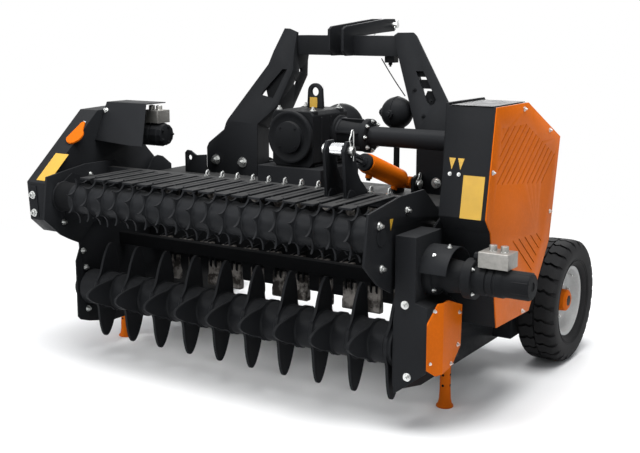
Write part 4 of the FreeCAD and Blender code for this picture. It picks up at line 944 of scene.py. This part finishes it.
class MULCHER_OT_rollers(bpy.types.Operator):
    """Feed roller, pick-up roller and hammer rotor"""
    bl_idname = "mulcher.rollers"
    bl_label = "Rollers and rotor"

    def execute(self, context):
        rollers = context.scene.mulcher_rollers
        feed = FEED_AXIS
        left, right = span("feed_roller")
        # the drum's left end takes the darker coat: painted shade
        stub = Form().turned(((left, 0), (left, 28), (left + 2, 30), (-728, 30), (-722, 56), (-720, 58),
                              (-640, 58), (-640, 0)), feed, "X", 48)
        stub.piece("feed_drum_end", "inside", "feed_roller")
        drum = Form()
        drum.turned(((-640, 0), (-640, 58), (720, 58), (722, 56), (728, 30), (right - 2, 30), (right, 28),
                     (right, 0)), feed, "X", 48)
        for disc in range(rollers.toothed_discs):
            x = FIRST_DISC + disc * DISC_PITCH
            drum.turned(((x - 9, 57.5), (x - 4, 62), (x + 4, 62), (x + 9, 57.5)), feed, "X", 48)
        drum.piece("feed_drum", "dark", "feed_roller", 0.0, ("feed_roller",))
        for phase in range(2):
            turn = math.radians(180 + 4.5 - 180 / rollers.teeth * phase)
            disc = Form().prism(disc_outline(rollers.teeth, 107, 41, turn), "X", -4, 4)
            row(disc, f"feed_discs_{phase}", "dark", "feed_roller", rollers.toothed_discs // 2,
                (FIRST_DISC + phase * DISC_PITCH, feed[1], feed[2]), (2 * DISC_PITCH, 0, 0), bevel=0.8)
        # pick-up roller
        pick = PICKUP_AXIS
        left, right = span("pickup_roller")
        drum = Form()
        drum.turned(((left, 0), (left, 27), (left + 3, 30), (-738, 30), (-736, 71), (-734, 73), (734, 73),
                     (736, 71), (738, 30), (right - 3, 30), (right, 27), (right, 0)), pick, "X", 56)
        for star in range(rollers.double_claws):
            x = FIRST_CLAW + star * CLAW_PITCH
            drum.turned(((x - 12, 72.5), (x - 6, 78), (x + 6, 78), (x + 12, 72.5)), pick, "X", 56)
        drum.piece("pickup_drum", "dark", "pickup_roller", 0.0, ("pickup_roller",))
        for phase in range(2):
            star = Form().prism(claw_outline(180 - 7.5 - 90 * (1 - phase)), "X", -6, 6)
            count = (rollers.double_claws + 1 - phase) // 2
            row(star, f"double_claws_{phase}", "dark", "pickup_roller", count,
                (FIRST_CLAW + phase * CLAW_PITCH, pick[1], pick[2]), (2 * CLAW_PITCH, 0, 0), bevel=1.4)
        # hammer rotor: lugs, pins and heads in four rows
        left, right = span("hammer_rotor")
        # the rotor's tube takes the darker coat: painted shade inside the housing
        tube = Form()
        tube.turned(((left, 0), (left, 28), (left + 2, 30), (-733, 30), (-732, 83), (-730, 85), (730, 85),
                     (732, 83), (733, 30), (right - 2, 30), (right, 28), (right, 0)), ROTOR_AXIS, "X", 48)
        tube.piece("rotor_tube", "inside", "hammer_rotor", 0.0, ("hammer_rotor",))
        pitch = 116
        for number in range(4):
            turn = Matrix.Rotation(math.pi / 2 * number, 4, "X")
            start = Vector(((number % 2 - 0.5 - (rollers.hammers - 1)) * pitch / 2, 0, 0))
            lugs = Form()
            for side in (-1, 1):
                lugs.prism(mirrored(((20, 78), (17, 124), (9, 134))), "X", side * 13 - 3, side * 13 + 3)
            lugs.rod((-20, 0, 118), "X", 40, 8, 10)
            hammer = Form().prism(((-8, 104), (8, 104), (9, 160), (17, 178), (17, 207), (11, 214), (-14, 214),
                                   (-17, 205), (-17, 178), (-9, 160)), "X", -30, 30)
            for name, form, finish, bevel in (("lugs", lugs, "cast", 1.0), ("heads", hammer, "hammer", 2.5)):
                shape = grown(form.mesh(name, bevel, local=True), "row", finish, count=rollers.hammers,
                              start=start * MM, step=Vector((pitch * MM, 0, 0)))
                shape.transform(Matrix.Translation(at(*ROTOR_AXIS)) @ turn)
                settle(shape, f"rotor_{name}_{number}", finish, "hammer_rotor")
        return {"FINISHED"}


class MULCHER_OT_roller_frame(bpy.types.Operator):
    """Swinging arms, comb, fork, chain case and feed motor"""
    bl_idname = "mulcher.roller_frame"
    bl_label = "Roller frame"

    def execute(self, context):
        edge = context.scene.mulcher.edge
        body = "roller_frame"
        for node, finish in (
            ("left_arm", "dark"), ("right_arm", "dark"), ("comb_deck", "deck"), ("fork", "dark"),
            ("chain_case", "dark"), ("motor_guard", "dark"), ("feed_valve", "block"),
        ):
            softened(node, finish, edge)
        softened("fork_pin", "zinc", 1.5)
        # hook bolts behind the slats, and a dark strip of painted shade along each slat where its slot is
        hook = Form()
        hook.pipe([(0, -6, 0), (0, -6, 14), (0, -2, 22), (0, 6, 24), (0, 12, 18), (0, 12, 4)], 3.6, 8)
        hook.turned(((0, 0), (0, 9), (6, 9), (6, 0)), (0, -6, 1), "Z", 6)
        slats, without_hook = context.scene.mulcher_rollers.toothed_discs - 1, 5
        first = FIRST_DISC + DISC_PITCH / 2
        row(hook, "comb_hooks", "zinc", body, slats - without_hook,
            (first + without_hook * DISC_PITCH, -386, 783), (DISC_PITCH, 0, 0))
        # a dark strip standing for the slot: painted shade
        slot = Form()
        slot.prism(((-2.6, -8), (2.6, -8), (2.6, 185), (-2.6, 185)), "Z", -1, 0.6)
        row(slot, "slat_slots", "inside", body, slats, (first, -610, 783), (DISC_PITCH, 0, 0))
        foot = Form()
        for x in (447, 525):
            foot.prism(((-530, 784), (-470, 784), (-488, 806), (-512, 812), (-524, 800)), "X", x - 11, x + 11)
        foot.piece("fork_feet", "dark", body, 2.0)
        left, right = span("fork_pin")
        y, z = ROD_EYE.yz
        head = Form().turned(((0, 0), (0, 18), (3, 21), (10, 21), (12, 18), (12, 14)), (left, y, z), "X", 24)
        head.rod((right - 16, y, z), "X", 14, 17)
        head.piece("fork_pin_head", "zinc", body)
        clip(right - 8, y, z, 14, 84, "fork_pin_clip", body)
        # arms: bearing flanges and bolts
        for side, name in ((-1, "left"), (1, "right")):
            flange = Form()
            flange.turned(((0, 31), (0, 60), (side * 6, 62), (side * 8, 40), (side * 8, 31)),
                          (side * 718, *FEED_AXIS[1:]), "X", 36, closed=True)
            flange.piece(name + "_feed_flange", "cast", body, 1.0, angle=50)
        bolts("arm_bolts", body, [(x, y, z, "+x", size) for x, size, y, z in (
            (737, 1.35, -665, 733), (737, 1.35, -646, 587), (737, 1.35, -477, 756), (737, 1.35, -465, 612),
            (-727, 1.2, -670, 737), (-727, 1.2, -652, 589), (-727, 1.0, -496, 764))])
        carrier = Form()
        carrier.prism(((-664, 742), (-646, 583), (-560, 596), (-552, 768), (-600, 782)), "X", -727.5, -723)
        carrier.piece("left_bearing_carrier", "dark", body, 0.8)
        Form().film([(738, -596, 744), (738, -574, 742), (738, -590, 706)]).piece("arm_mark", "yellow", body)
        # chain case: cover plate with two bright screws, film, orange sight cover
        plate_x, plate_half = -826, 20
        corners = [case_point(plate_x + side * plate_half, z, 0)
                   for side, z in ((-1, 608), (1, 608), (1, 738), (-1, 738))]
        plate = Form().slab(*([(x, y + depth, z) for x, y, z in corners] for depth in (1, -4)))
        plate.piece("case_plate", "dark", body, 1.0)
        bolts("case_screws", body, [(*case_point(plate_x, z, 5), CASE_LOW_WAY, 1.5) for z in (699, 626)])
        corners = [band_point(x, along) for x, along in ((-814, 13), (-740, 13), (-740, 158), (-814, 158))]
        Form().film(corners).piece("case_film", "yellow", body)
        outline = []
        for step in range(36):
            angle = math.radians(200 + 10 * step)
            x, along, radius = (-772, 252, 40) if step < 23 else (-777, 318, 14)
            outline.append((x + radius * math.cos(angle), along + radius * math.sin(angle)))
        drop = Form().slab(*([band_point(x, along, proud) for x, along in outline] for proud in (0, 9)))
        drop.piece("sight_cover", "orange", body, 3.0)
        bolts("guard_screws", body, [(-745, -373, 1016, (0, -0.893, 0.449), 1.0),
                                     (*band_point(-779, 334), tuple(BAND_NORMAL), 0.6)])
        # feed motor: stacked rings, end cap with bolts
        start, end = -759, span("feed_motor")[1]
        motor = Form()
        motor.turned(((start, 50), (start + 40, 56), (start + 42, 50), (start + 120, 50), (start + 122, 44),
                      (start + 126, 44), (start + 128, 50), (start + 196, 50), (start + 198, 46),
                      (start + 202, 46), (start + 204, 50), (end - 22, 50), (end - 18, 46), (end - 2, 44),
                      (end, 40), (end, 0)), FEED_MOTOR, "X", 12)
        motor.piece("feed_motor_dressed", "cast", body, 2.0, ("feed_motor",))
        _, y, z = FEED_MOTOR
        bolt_ring("feed_motor_bolts", body, end, y, z, 33, 5, 0.7, finish="cast")
        ports(body, "feed", y, z + 100, (-575, -535))
        return {"FINISHED"}


# The chain case's front: a steep face up to the band, and the slanted band up to the roof.
CASE_FOOT, BAND_LOW, BAND_HIGH = Vector((0, -707, 597)), Vector((0, -716, 750)), Vector((0, -410, 1018))
BAND_WAY = (BAND_HIGH - BAND_LOW).normalized()
BAND_NORMAL = Vector((0, -BAND_WAY.z, BAND_WAY.y))
CASE_LOW_WAY = (0, -0.998, 0.059)


def band_point(x, along, proud=0.9):
    """A point of the chain case's slanted band, by its distance up the band."""
    point = BAND_LOW + BAND_WAY * along + BAND_NORMAL * proud
    return (x, point.y, point.z)


def case_point(x, z, proud):
    """A point of the chain case's steep lower face, at a height."""
    part = (z - CASE_FOOT.z) / (BAND_LOW.z - CASE_FOOT.z)
    return (x, CASE_FOOT.lerp(BAND_LOW, part).y - proud, z)


def ports(body, name, y, z, places):
    """Hose unions on a valve block, plugged for transport."""
    union = Form()
    for x in places:
        union.turned(((0, 0), (0, 14), (5, 14), (6, 11), (10, 11), (11, 13), (18, 13), (19, 9), (22, 8),
                      (22, 0)), (x, y, z - 2), "Z", 6)
    union.piece(name + "_unions", "zinc", body, 0.8)


class MULCHER_OT_hydraulics(bpy.types.Operator):
    """Lift cylinder, gas damper and the pick-up roller's drive"""
    bl_idname = "mulcher.hydraulics"
    bl_label = "Hydraulics"

    def execute(self, context):
        edge = context.scene.mulcher.edge
        way = ROD_EYE - BARREL_EYE
        aim = Matrix.Translation(BARREL_EYE) @ Matrix.Rotation(math.atan2(-way.z, -way.y), 4, "X")
        barrel = Form()
        barrel.turned(((-58, 0), (-58, 30), (-64, 37), (-318, 37), (-322, 35), (-330, 35), (-330, 17.4),
                       (-300, 17.4), (-300, 0)), (0, 0, 0), "Y", 40)
        port_places = (-92, -292)
        for along in port_places:
            barrel.turned(((-34, 13), (-48, 13), (-50, 11), (-50, 0)), (0, along, 0), "Z", 20)
        barrel.moved(aim).piece("barrel_tube_dressed", "orange", "cylinder_barrel", 0.0, ("cylinder_barrel",))
        ends = Form()
        ends.turned(mirrored(((-25, 14.4), (-25, 22), (-23, 24))), (0, 0, 0), "X", 32, closed=True)
        ends.block((-16, -62, -17), (16, -16, 17))
        ends.moved(aim).piece("barrel_eye_dressed", "orange", "cylinder_barrel", 1.0)
        plugs = Form()
        for along in port_places:
            plugs.turned(((-50, 0), (-50, 9), (-57, 9), (-58, 0)), (0, along, 0), "Z", 6)
        plugs.moved(aim).piece("barrel_plugs", "cast", "cylinder_barrel", 0.5)
        gland = Form().turned(((-331, 17.4), (-331, 30), (-333, 32), (-345, 32), (-347, 30), (-347, 17.4)),
                              (0, 0, 0), "Y", 32, closed=True)
        gland.moved(aim).piece("barrel_gland", "cast", "cylinder_barrel")
        piston = Form()
        end = 20 - way.length
        piston.turned(((-134, 0), (-134, 16), (-136, 17), (end, 17), (end, 0)), (0, 0, 0), "Y", 32)
        piston.moved(aim).piece("piston_rod", "chrome", "cylinder_rod", 0.0, ("cylinder_rod",))
        loop = Form().turned(mirrored(((-25, 15.6), (-25, 22), (-23, 24))), (0, -way.length, 0), "X", 32,
                             closed=True)
        loop.moved(aim).piece("piston_eye", "chrome", "cylinder_rod")
        softened("cylinder_bracket", "dark", edge)
        y, z = BARREL_EYE.yz
        pin = Form()
        pin.rod((528, y, z), "X", 22, 13.6)
        pin.turned(((0, 0), (0, 17), (2, 19), (8, 19), (9, 14), (9, 0)), (432, y, z), "X", 24)
        pin.piece("base_pin_head", "zinc", "chassis")
        clip(543, y, z, 13, 52, "base_pin_clip", "chassis")
        # gas damper: two pressed halves, waist weld, six-sided nozzle
        shell = Form()
        shell.turned([(-64 * math.cos(a), 64 * math.sin(a)) for a in angles(40)[:21]], DAMPER, "X", 48)
        shell.turned(((-3, 63), (-2, 66), (2, 66), (3, 63)), DAMPER, "X", 48)
        shell.piece("damper_shell", "cast", "chassis", 0.0, ("accumulator",))
        stand = Form()
        stand.rod((*DAMPER[:2], 725), "Z", 246, 12)
        stand.turned(((0, 30), (6, 34), (14, 34), (16, 30), (16, 17)), (*DAMPER[:2], 958), "Z", 6)
        stand.piece("damper_stand", "cast", "chassis", 0.8)
        nozzle = ((-58, 0), (-58, 19), (-70, 19), (-71, 12), (-77, 12), (-78, 0))
        Form().turned(nozzle, DAMPER, "X", 6).piece("damper_nozzle", "cast", "chassis", 0.8)
        valve = ((-60, 0), (-60, 17), (-74, 17), (-75, 10), (-80, 9), (-80, 0))
        Form().turned(valve, DAMPER, "Y", 8).piece("damper_valve", "cast", "chassis", 0.8)
        # pick-up roller's chain case and motor
        softened("pickup_drive_case", "dark", edge + 0.6)
        softened("pickup_drive_cover", "orange", 0.8)
        softened("pickup_shield", "dark", 0.6)
        softened("pickup_valve", "block", 2.0)
        bolts("drive_case_bolts", "chassis", [(793, -584, 459, "-y", 1.35), (805, -584, 211, "-y", 1.35)])
        slanted = (0.87, -0.48, 0)
        bolts("drive_cover_screws", "chassis", [(x, y, z, way, 0.7) for x, y, z, way in (
            (909, -413, 412, "+x"), (909, -420, 300, "+x"), (909, -470, 246, "+x"),
            (891, -560, 446, slanted), (884, -576, 270, slanted))])
        _, y, z = PICKUP_MOTOR
        motor = Form()
        motor.turned(((830, 0), (830, 74), (833, 76), (856, 76), (860, 73), (862, 60), (872, 52), (884, 50),
                      (904, 58), (950, 52), (962, 50), (964, 66), (966, 68), (996, 68), (998, 66), (998, 52),
                      (1004, 50), (1040, 50), (1042, 46), (1047, 46), (1049, 50), (1066, 50), (1068, 47),
                      (1074, 47), (1076, 50), (1096, 50), (1100, 47), (1104, 46), (1184, 45), (1189, 41),
                      (1189.5, 16), (1184, 14), (1184, 0)), PICKUP_MOTOR, "X", 40)
        motor.piece("pickup_motor_dressed", "cast", "chassis", 0.0, ("pickup_motor",))
        radii = (44 * 0.94, 44 * 1.06) * 8
        star = [(y + radius * math.cos(a), z + radius * math.sin(a)) for radius, a in zip(radii, angles(16))]
        Form().prism(star, "X", 1130, 1186).piece("motor_end_cap", "cast", "chassis", 2.0)
        bolt_ring("motor_end_bolts", "chassis", 1184.3, y, z, 34, 7, 0.42, finish="cast")
        bolt_ring("motor_mount_bolts", "chassis", 860, y, z, 64, 4, 0.85, math.pi / 4)
        bolt_ring("motor_disc_bolts", "chassis", 998, y, z, 58, 4, 0.62, math.pi / 4)
        bolts("shield_bolts", "chassis", [(905, y - 20, z + 98, "+z", 0.9),
                                          (872, y - 62, z + 74, (0, -0.64, 0.77), 0.8)])
        ports("chassis", "pickup", y, z + 102, (1050, 1090))
        plug = ((0, 0), (0, 15), (12, 17), (22, 17), (24, 14), (24, 0))
        Form().turned(plug, (988, y, z + 76), "X", 8).piece("valve_plug", "cast", "chassis", 0.8)
        return {"FINISHED"}


class MULCHER_OT_wheels(bpy.types.Operator):
    """Tyres with their tread, rims and hubs"""
    bl_idname = "mulcher.wheels"
    bl_label = "Wheels"

    def execute(self, context):
        wheels = context.scene.mulcher_wheels
        depth = wheels.groove
        for side, name in ((-1, "left"), (1, "right")):
            body = name + "_wheel"
            centre = (side * WHEEL_OUT, WHEEL_Y, TYRE_RADIUS)
            half = ((-52, 146), (-60, 149), (-70, 162), (-77, 182), (-79, 200), (-80, 214), (-77, 228),
                    (-68, 234), (-60, 250 - depth), (-30, 252 - depth + 0.6))
            profile = [*mirrored(half), (40, 140), (-40, 140)]
            carcass = Form().turned(profile, centre, "X", 72, closed=True)
            for out, radius in ((72.5, 168), (75, 176)):
                for x, proud in ((-out, -2), (out, 2)):
                    carcass.turned(((x, radius - 2), (x + proud, radius), (x, radius + 2)), centre, "X", 72)
            carcass.piece(name + "_tyre_carcass", "rubber", body, 0.0, (name + "_tyre",))
            blocks = wheels.tread_blocks
            ring(tread_block(blocks, depth), name + "_tread", "rubber", body, blocks, centre, 0.03 * side,
                 bevel=1.2)
            rim = Form()
            rim.turned(((55, 144), (55, 134), (52, 130), (46, 128), (38, 124), (26, 120), (18, 112),
                        (15, 100), (20, 84), (22, 60), (20, 46), (8, 46), (8, 98), (4, 112), (-6, 122),
                        (-48, 128), (-54, 133), (-55, 144), (-52, 145), (-44, 141), (44, 141), (52, 145)),
                       centre, "X", 64, closed=True)
            rim.piece(name + "_rim_dressed", "rim", body, 0.0, (name + "_rim",))
            hub = Form()
            hub.turned(((-55, 22.6), (-55, 40), (-50, 46), (8, 46), (24, 45), (46, 44), (50, 40), (52, 30),
                        (52, 22.6)), centre, "X", 40, closed=True)
            hub.piece(name + "_hub_dressed", "orange", body, 0.0, (name + "_hub",))
            cap = Form()
            cap.turned([(side * out, radius) for out, radius in ((49, 38), (51, 38), (54.5, 33), (54.8, 0))],
                       centre, "X", 32)
            cap.piece(name + "_hub_cap", "orange", body)
            x, y, z = centre
            bolt_ring(name + "_wheel_bolts", body, x + 21, y, z, 70, wheels.wheel_bolts, 1.0, 0.5)
            stem = Form().pipe([(x + 30, y + 60, z + 98), (x + 46, y + 57, z + 93)], 4, 8)
            stem.piece(name + "_valve_stem", "zinc", body)
        return {"FINISHED"}


def tread_block(count, depth):
    """One pair of tread blocks at the top of a tyre, staggered and skewed, down over the shoulders."""
    form = Form()
    pitch = 2 * math.pi * TYRE_RADIUS / count
    groove, shoulder_groove, shoulder = 12.0, 21.0, 68
    # across, radius and skew along the block's edge, from the middle down over the shoulder
    crown = ((2.5, 252, 0), (16, 252, 5), (32, 252, 1), (48, 251.4, 7), (60, 249.6, 8.5), (68, 244.5, 9),
             (75, 236, 9.5), (79.3, 226, 10), (79.8, 216, 10))
    for side in (-1, 1):
        shift = pitch / 2 if side > 0 else 0.0
        upper, lower = [], []
        for edge in (0, 1):
            line_up, line_low = [], []
            for x, radius, skew in crown:
                width = (pitch - (groove if x < shoulder else shoulder_groove)) / 2
                along = shift + skew * 1.6 + (width if edge else -width)
                sink = depth if x < shoulder else depth * max(0.4, 1 - (x - shoulder) / 20)
                angle = along / TYRE_RADIUS
                for target, height in ((line_up, radius), (line_low, radius - sink - 2)):
                    corner = (side * x, -height * math.sin(angle), height * math.cos(angle))
                    target.append(form.shape.verts.new(corner))
            upper.append(line_up)
            lower.append(line_low)
        last = len(crown) - 1
        for k in range(last):
            form.shape.faces.new((upper[0][k], upper[0][k + 1], upper[1][k + 1], upper[1][k]))
            form.shape.faces.new((lower[0][k], lower[1][k], lower[1][k + 1], lower[0][k + 1]))
            for edge in (0, 1):
                form.shape.faces.new((upper[edge][k], lower[edge][k], lower[edge][k + 1], upper[edge][k + 1]))
        for k in (0, last):
            form.shape.faces.new((upper[0][k], upper[1][k], lower[1][k], lower[0][k]))
    return form


class MULCHER_OT_parking_legs(bpy.types.Operator):
    """Parking legs with their sleeves and pins"""
    bl_idname = "mulcher.parking_legs"
    bl_label = "Parking legs"

    def execute(self, context):
        for side, name in ((-1, "left"), (1, "right")):
            x, y, z = side * LEG_OUT, LEG_Y, LEG_PIN_Z
            post = Form()
            post.turned(((0, 0), (0, 30), (2, 32), (7, 31), (12, 26), (30, 22), (70, LEG_RADIUS),
                         (379, LEG_RADIUS), (380, 19), (380, 16), (300, 16), (300, 0)), (x, y, 0), "Z", 36)
            post.piece(name + "_leg_tube", "orange", name + "_parking_leg", 0.0, (name + "_parking_leg",))
            # dark discs where the holes go through the tube: painted shade
            holes = Form()
            for height in (44, 84, 124, 164):
                for way in (-1, 1):
                    disc = ((0, 0), (0, 5.4), (way * 1.2, 5.2), (way * 1.2, 0))
                    inset = way * (LEG_RADIUS - 1)
                    holes.turned(disc, (x, y + inset, height), "Y", 14)
                    holes.turned(disc, (x + inset, y, height), "X", 14)
            holes.piece(name + "_leg_holes", "inside", name + "_parking_leg")
            softened(name + "_leg_socket", "dark", 2.0)
            pin = Form()
            pin.rod((x, y - 36, z), "Y", 72, 5.2, 14)
            pin.pipe([(x, y - 34, z), (x - 1, y - 37, z - 10), (x - 2, y - 36, z - 27)], 2.4, 8)
            pin.piece(name + "_leg_pin", "zinc", "chassis")
        return {"FINISHED"}


def pale_floor():
    """A pale floor that keeps the machine's shadow near it and is plain white further off."""
    finish = Finish("pale floor", roughness=0.9, specular_ior_level=0.1)
    cloud = finish.noise(1.2, 2.0)
    finish.set("Base Color", finish.mix(cloud, (0.8, 0.8, 0.8), (0.84, 0.84, 0.84)))
    across, along = (finish.node("ShaderNodeSeparateXYZ", {}, finish.place(), output=axis) for axis in (0, 1))
    reach = (across * across + along * along) ** 0.5
    far = finish.node("ShaderNodeMapRange", {"interpolation_type": "SMOOTHSTEP"}, reach, 1.5, 3.6)
    seen = finish.node("ShaderNodeMath", {"operation": "MAXIMUM"}, *(
        finish.node("ShaderNodeLightPath", {}, output=f"Is {kind} Ray") for kind in ("Camera", "Glossy")))
    white = finish.node("ShaderNodeEmission", {})
    lit = Wire(finish, finish.shader.outputs[0])
    above = finish.node("ShaderNodeMixShader", {}, seen * far, lit, white)
    back = finish.node("ShaderNodeNewGeometry", {}, output="Backfacing")
    shown = finish.node("ShaderNodeMixShader", {}, back, above, finish.node("ShaderNodeBsdfTransparent", {}))
    finish.feed(finish.tree.nodes["Material Output"].inputs["Surface"], shown)
    return finish.material


# The camera in the machine's millimetres, its way of looking and its lens.
EYE, LOOK, LENS = (2345, -3480, 1378), Vector((-0.5355, 0.8215, -0.1959)).normalized(), 57.66
FLOOR_REACH = 14.0
# The room: tint and strength of its soft light; the camera and mirrors see plain white.
ROOM_TINT, ROOM_LIGHT = (0.9, 0.94, 1.0, 1), 0.34
LAMP_AIM = Vector((0, 0, 0.55))
LAMPS = (
    ("key lamp", (-2.4, -4.4, 3.4), 2.6, 150), ("top lamp", (0.8, -0.9, 4.8), 3.6, 420),
    ("side lamp", (4.6, -0.6, 2.2), 2.4, 12), ("rear lamp", (-1.5, 4.4, 2.8), 2.4, 80),
)


def studio():
    """A world that lights softly and looks plain white."""
    world = bpy.data.worlds.new("studio")
    world.use_nodes = True
    room = world.node_tree
    room.nodes.clear()
    rays = room.nodes.new("ShaderNodeLightPath").outputs
    mirrored = maths(room, "MAXIMUM", rays["Is Glossy Ray"], rays["Is Transmission Ray"])
    seen = maths(room, "MAXIMUM", rays["Is Camera Ray"], mirrored)
    soft = wired(room, "ShaderNodeBackground", (), ROOM_TINT, ROOM_LIGHT)
    white = wired(room, "ShaderNodeBackground", (), (1, 1, 1, 1), 1.0)
    shown = wired(room, "ShaderNodeMixShader", (), seen, soft, white)
    room.links.new(shown, room.nodes.new("ShaderNodeOutputWorld").inputs[0])
    return world


class MULCHER_OT_stage(bpy.types.Operator):
    """Floor, soft lamps and camera"""
    bl_idname = "mulcher.stage"
    bl_label = "Stage"

    def execute(self, context):
        scene = context.scene
        data = bpy.data.meshes.new("floor")
        corners = [(x * FLOOR_REACH, y * FLOOR_REACH, 0) for x, y in ((-1, -1), (1, -1), (1, 1), (-1, 1))]
        data.from_pydata(corners, [], [range(4)])
        linked("floor", data)
        data.materials.append(pale_floor())
        scene.world = studio()
        for name, place, size, power in LAMPS:
            lamp = bpy.data.lights.new(name, "AREA")
            lamp.shape = "SQUARE"
            lamp.size = size
            lamp.energy = power
            shown = linked(name, lamp)
            shown.location = place
            shown.rotation_euler = (LAMP_AIM - Vector(place)).to_track_quat("-Z", "Y").to_euler()
        lens = bpy.data.cameras.new("camera")
        lens.sensor_width = 36.0
        lens.lens = LENS
        lens.clip_end = 60.0
        eye = linked("camera", lens)
        right = LOOK.cross(Vector((0, 0, 1))).normalized()
        turn = Matrix((right, right.cross(LOOK), -LOOK)).transposed().to_4x4()
        eye.matrix_world = Matrix.Translation(at(*EYE)) @ turn
        scene.camera = eye
        scene.view_settings.view_transform = "Standard"
        return {"FINISHED"}


OPERATORS = (
    MULCHER_OT_housing, MULCHER_OT_headstock, MULCHER_OT_gearbox, MULCHER_OT_belt_guard,
    MULCHER_OT_rollers, MULCHER_OT_roller_frame, MULCHER_OT_hydraulics, MULCHER_OT_wheels,
    MULCHER_OT_parking_legs, MULCHER_OT_stage,
)


class MULCHER_PT_panel(bpy.types.Panel):
    """Lists the mulcher's sizes and the pieces that can be made"""
    bl_idname = "MULCHER_PT_panel"
    bl_label = "Pick-up mulcher"
    bl_space_type = "VIEW_3D"
    bl_region_type = "UI"
    bl_category = "Mulcher"

    def draw(self, context):
        scene = context.scene
        for group in (scene.mulcher, scene.mulcher_wheels, scene.mulcher_rollers):
            for key in group.__annotations__:
                self.layout.prop(group, key)
        for operator in OPERATORS:
            self.layout.operator(operator.bl_idname)


GROUPS = (
    ("mulcher", MulcherSettings), ("mulcher_wheels", WheelSettings), ("mulcher_rollers", RollerSettings),
)


def register():
    for name, group in GROUPS:
        bpy.utils.register_class(group)
        setattr(bpy.types.Scene, name, PointerProperty(type=group))
    for shown in (*OPERATORS, MULCHER_PT_panel):
        bpy.utils.register_class(shown)


def unregister():
    for shown in (MULCHER_PT_panel, *reversed(OPERATORS)):
        bpy.utils.unregister_class(shown)
    for name, group in reversed(GROUPS):
        delattr(bpy.types.Scene, name)
        bpy.utils.unregister_class(group)


def main():
    register()
    for operator in OPERATORS:
        group, name = operator.bl_idname.split(".")
        getattr(getattr(bpy.ops, group), name)()


if __name__ == "__main__":
    main()
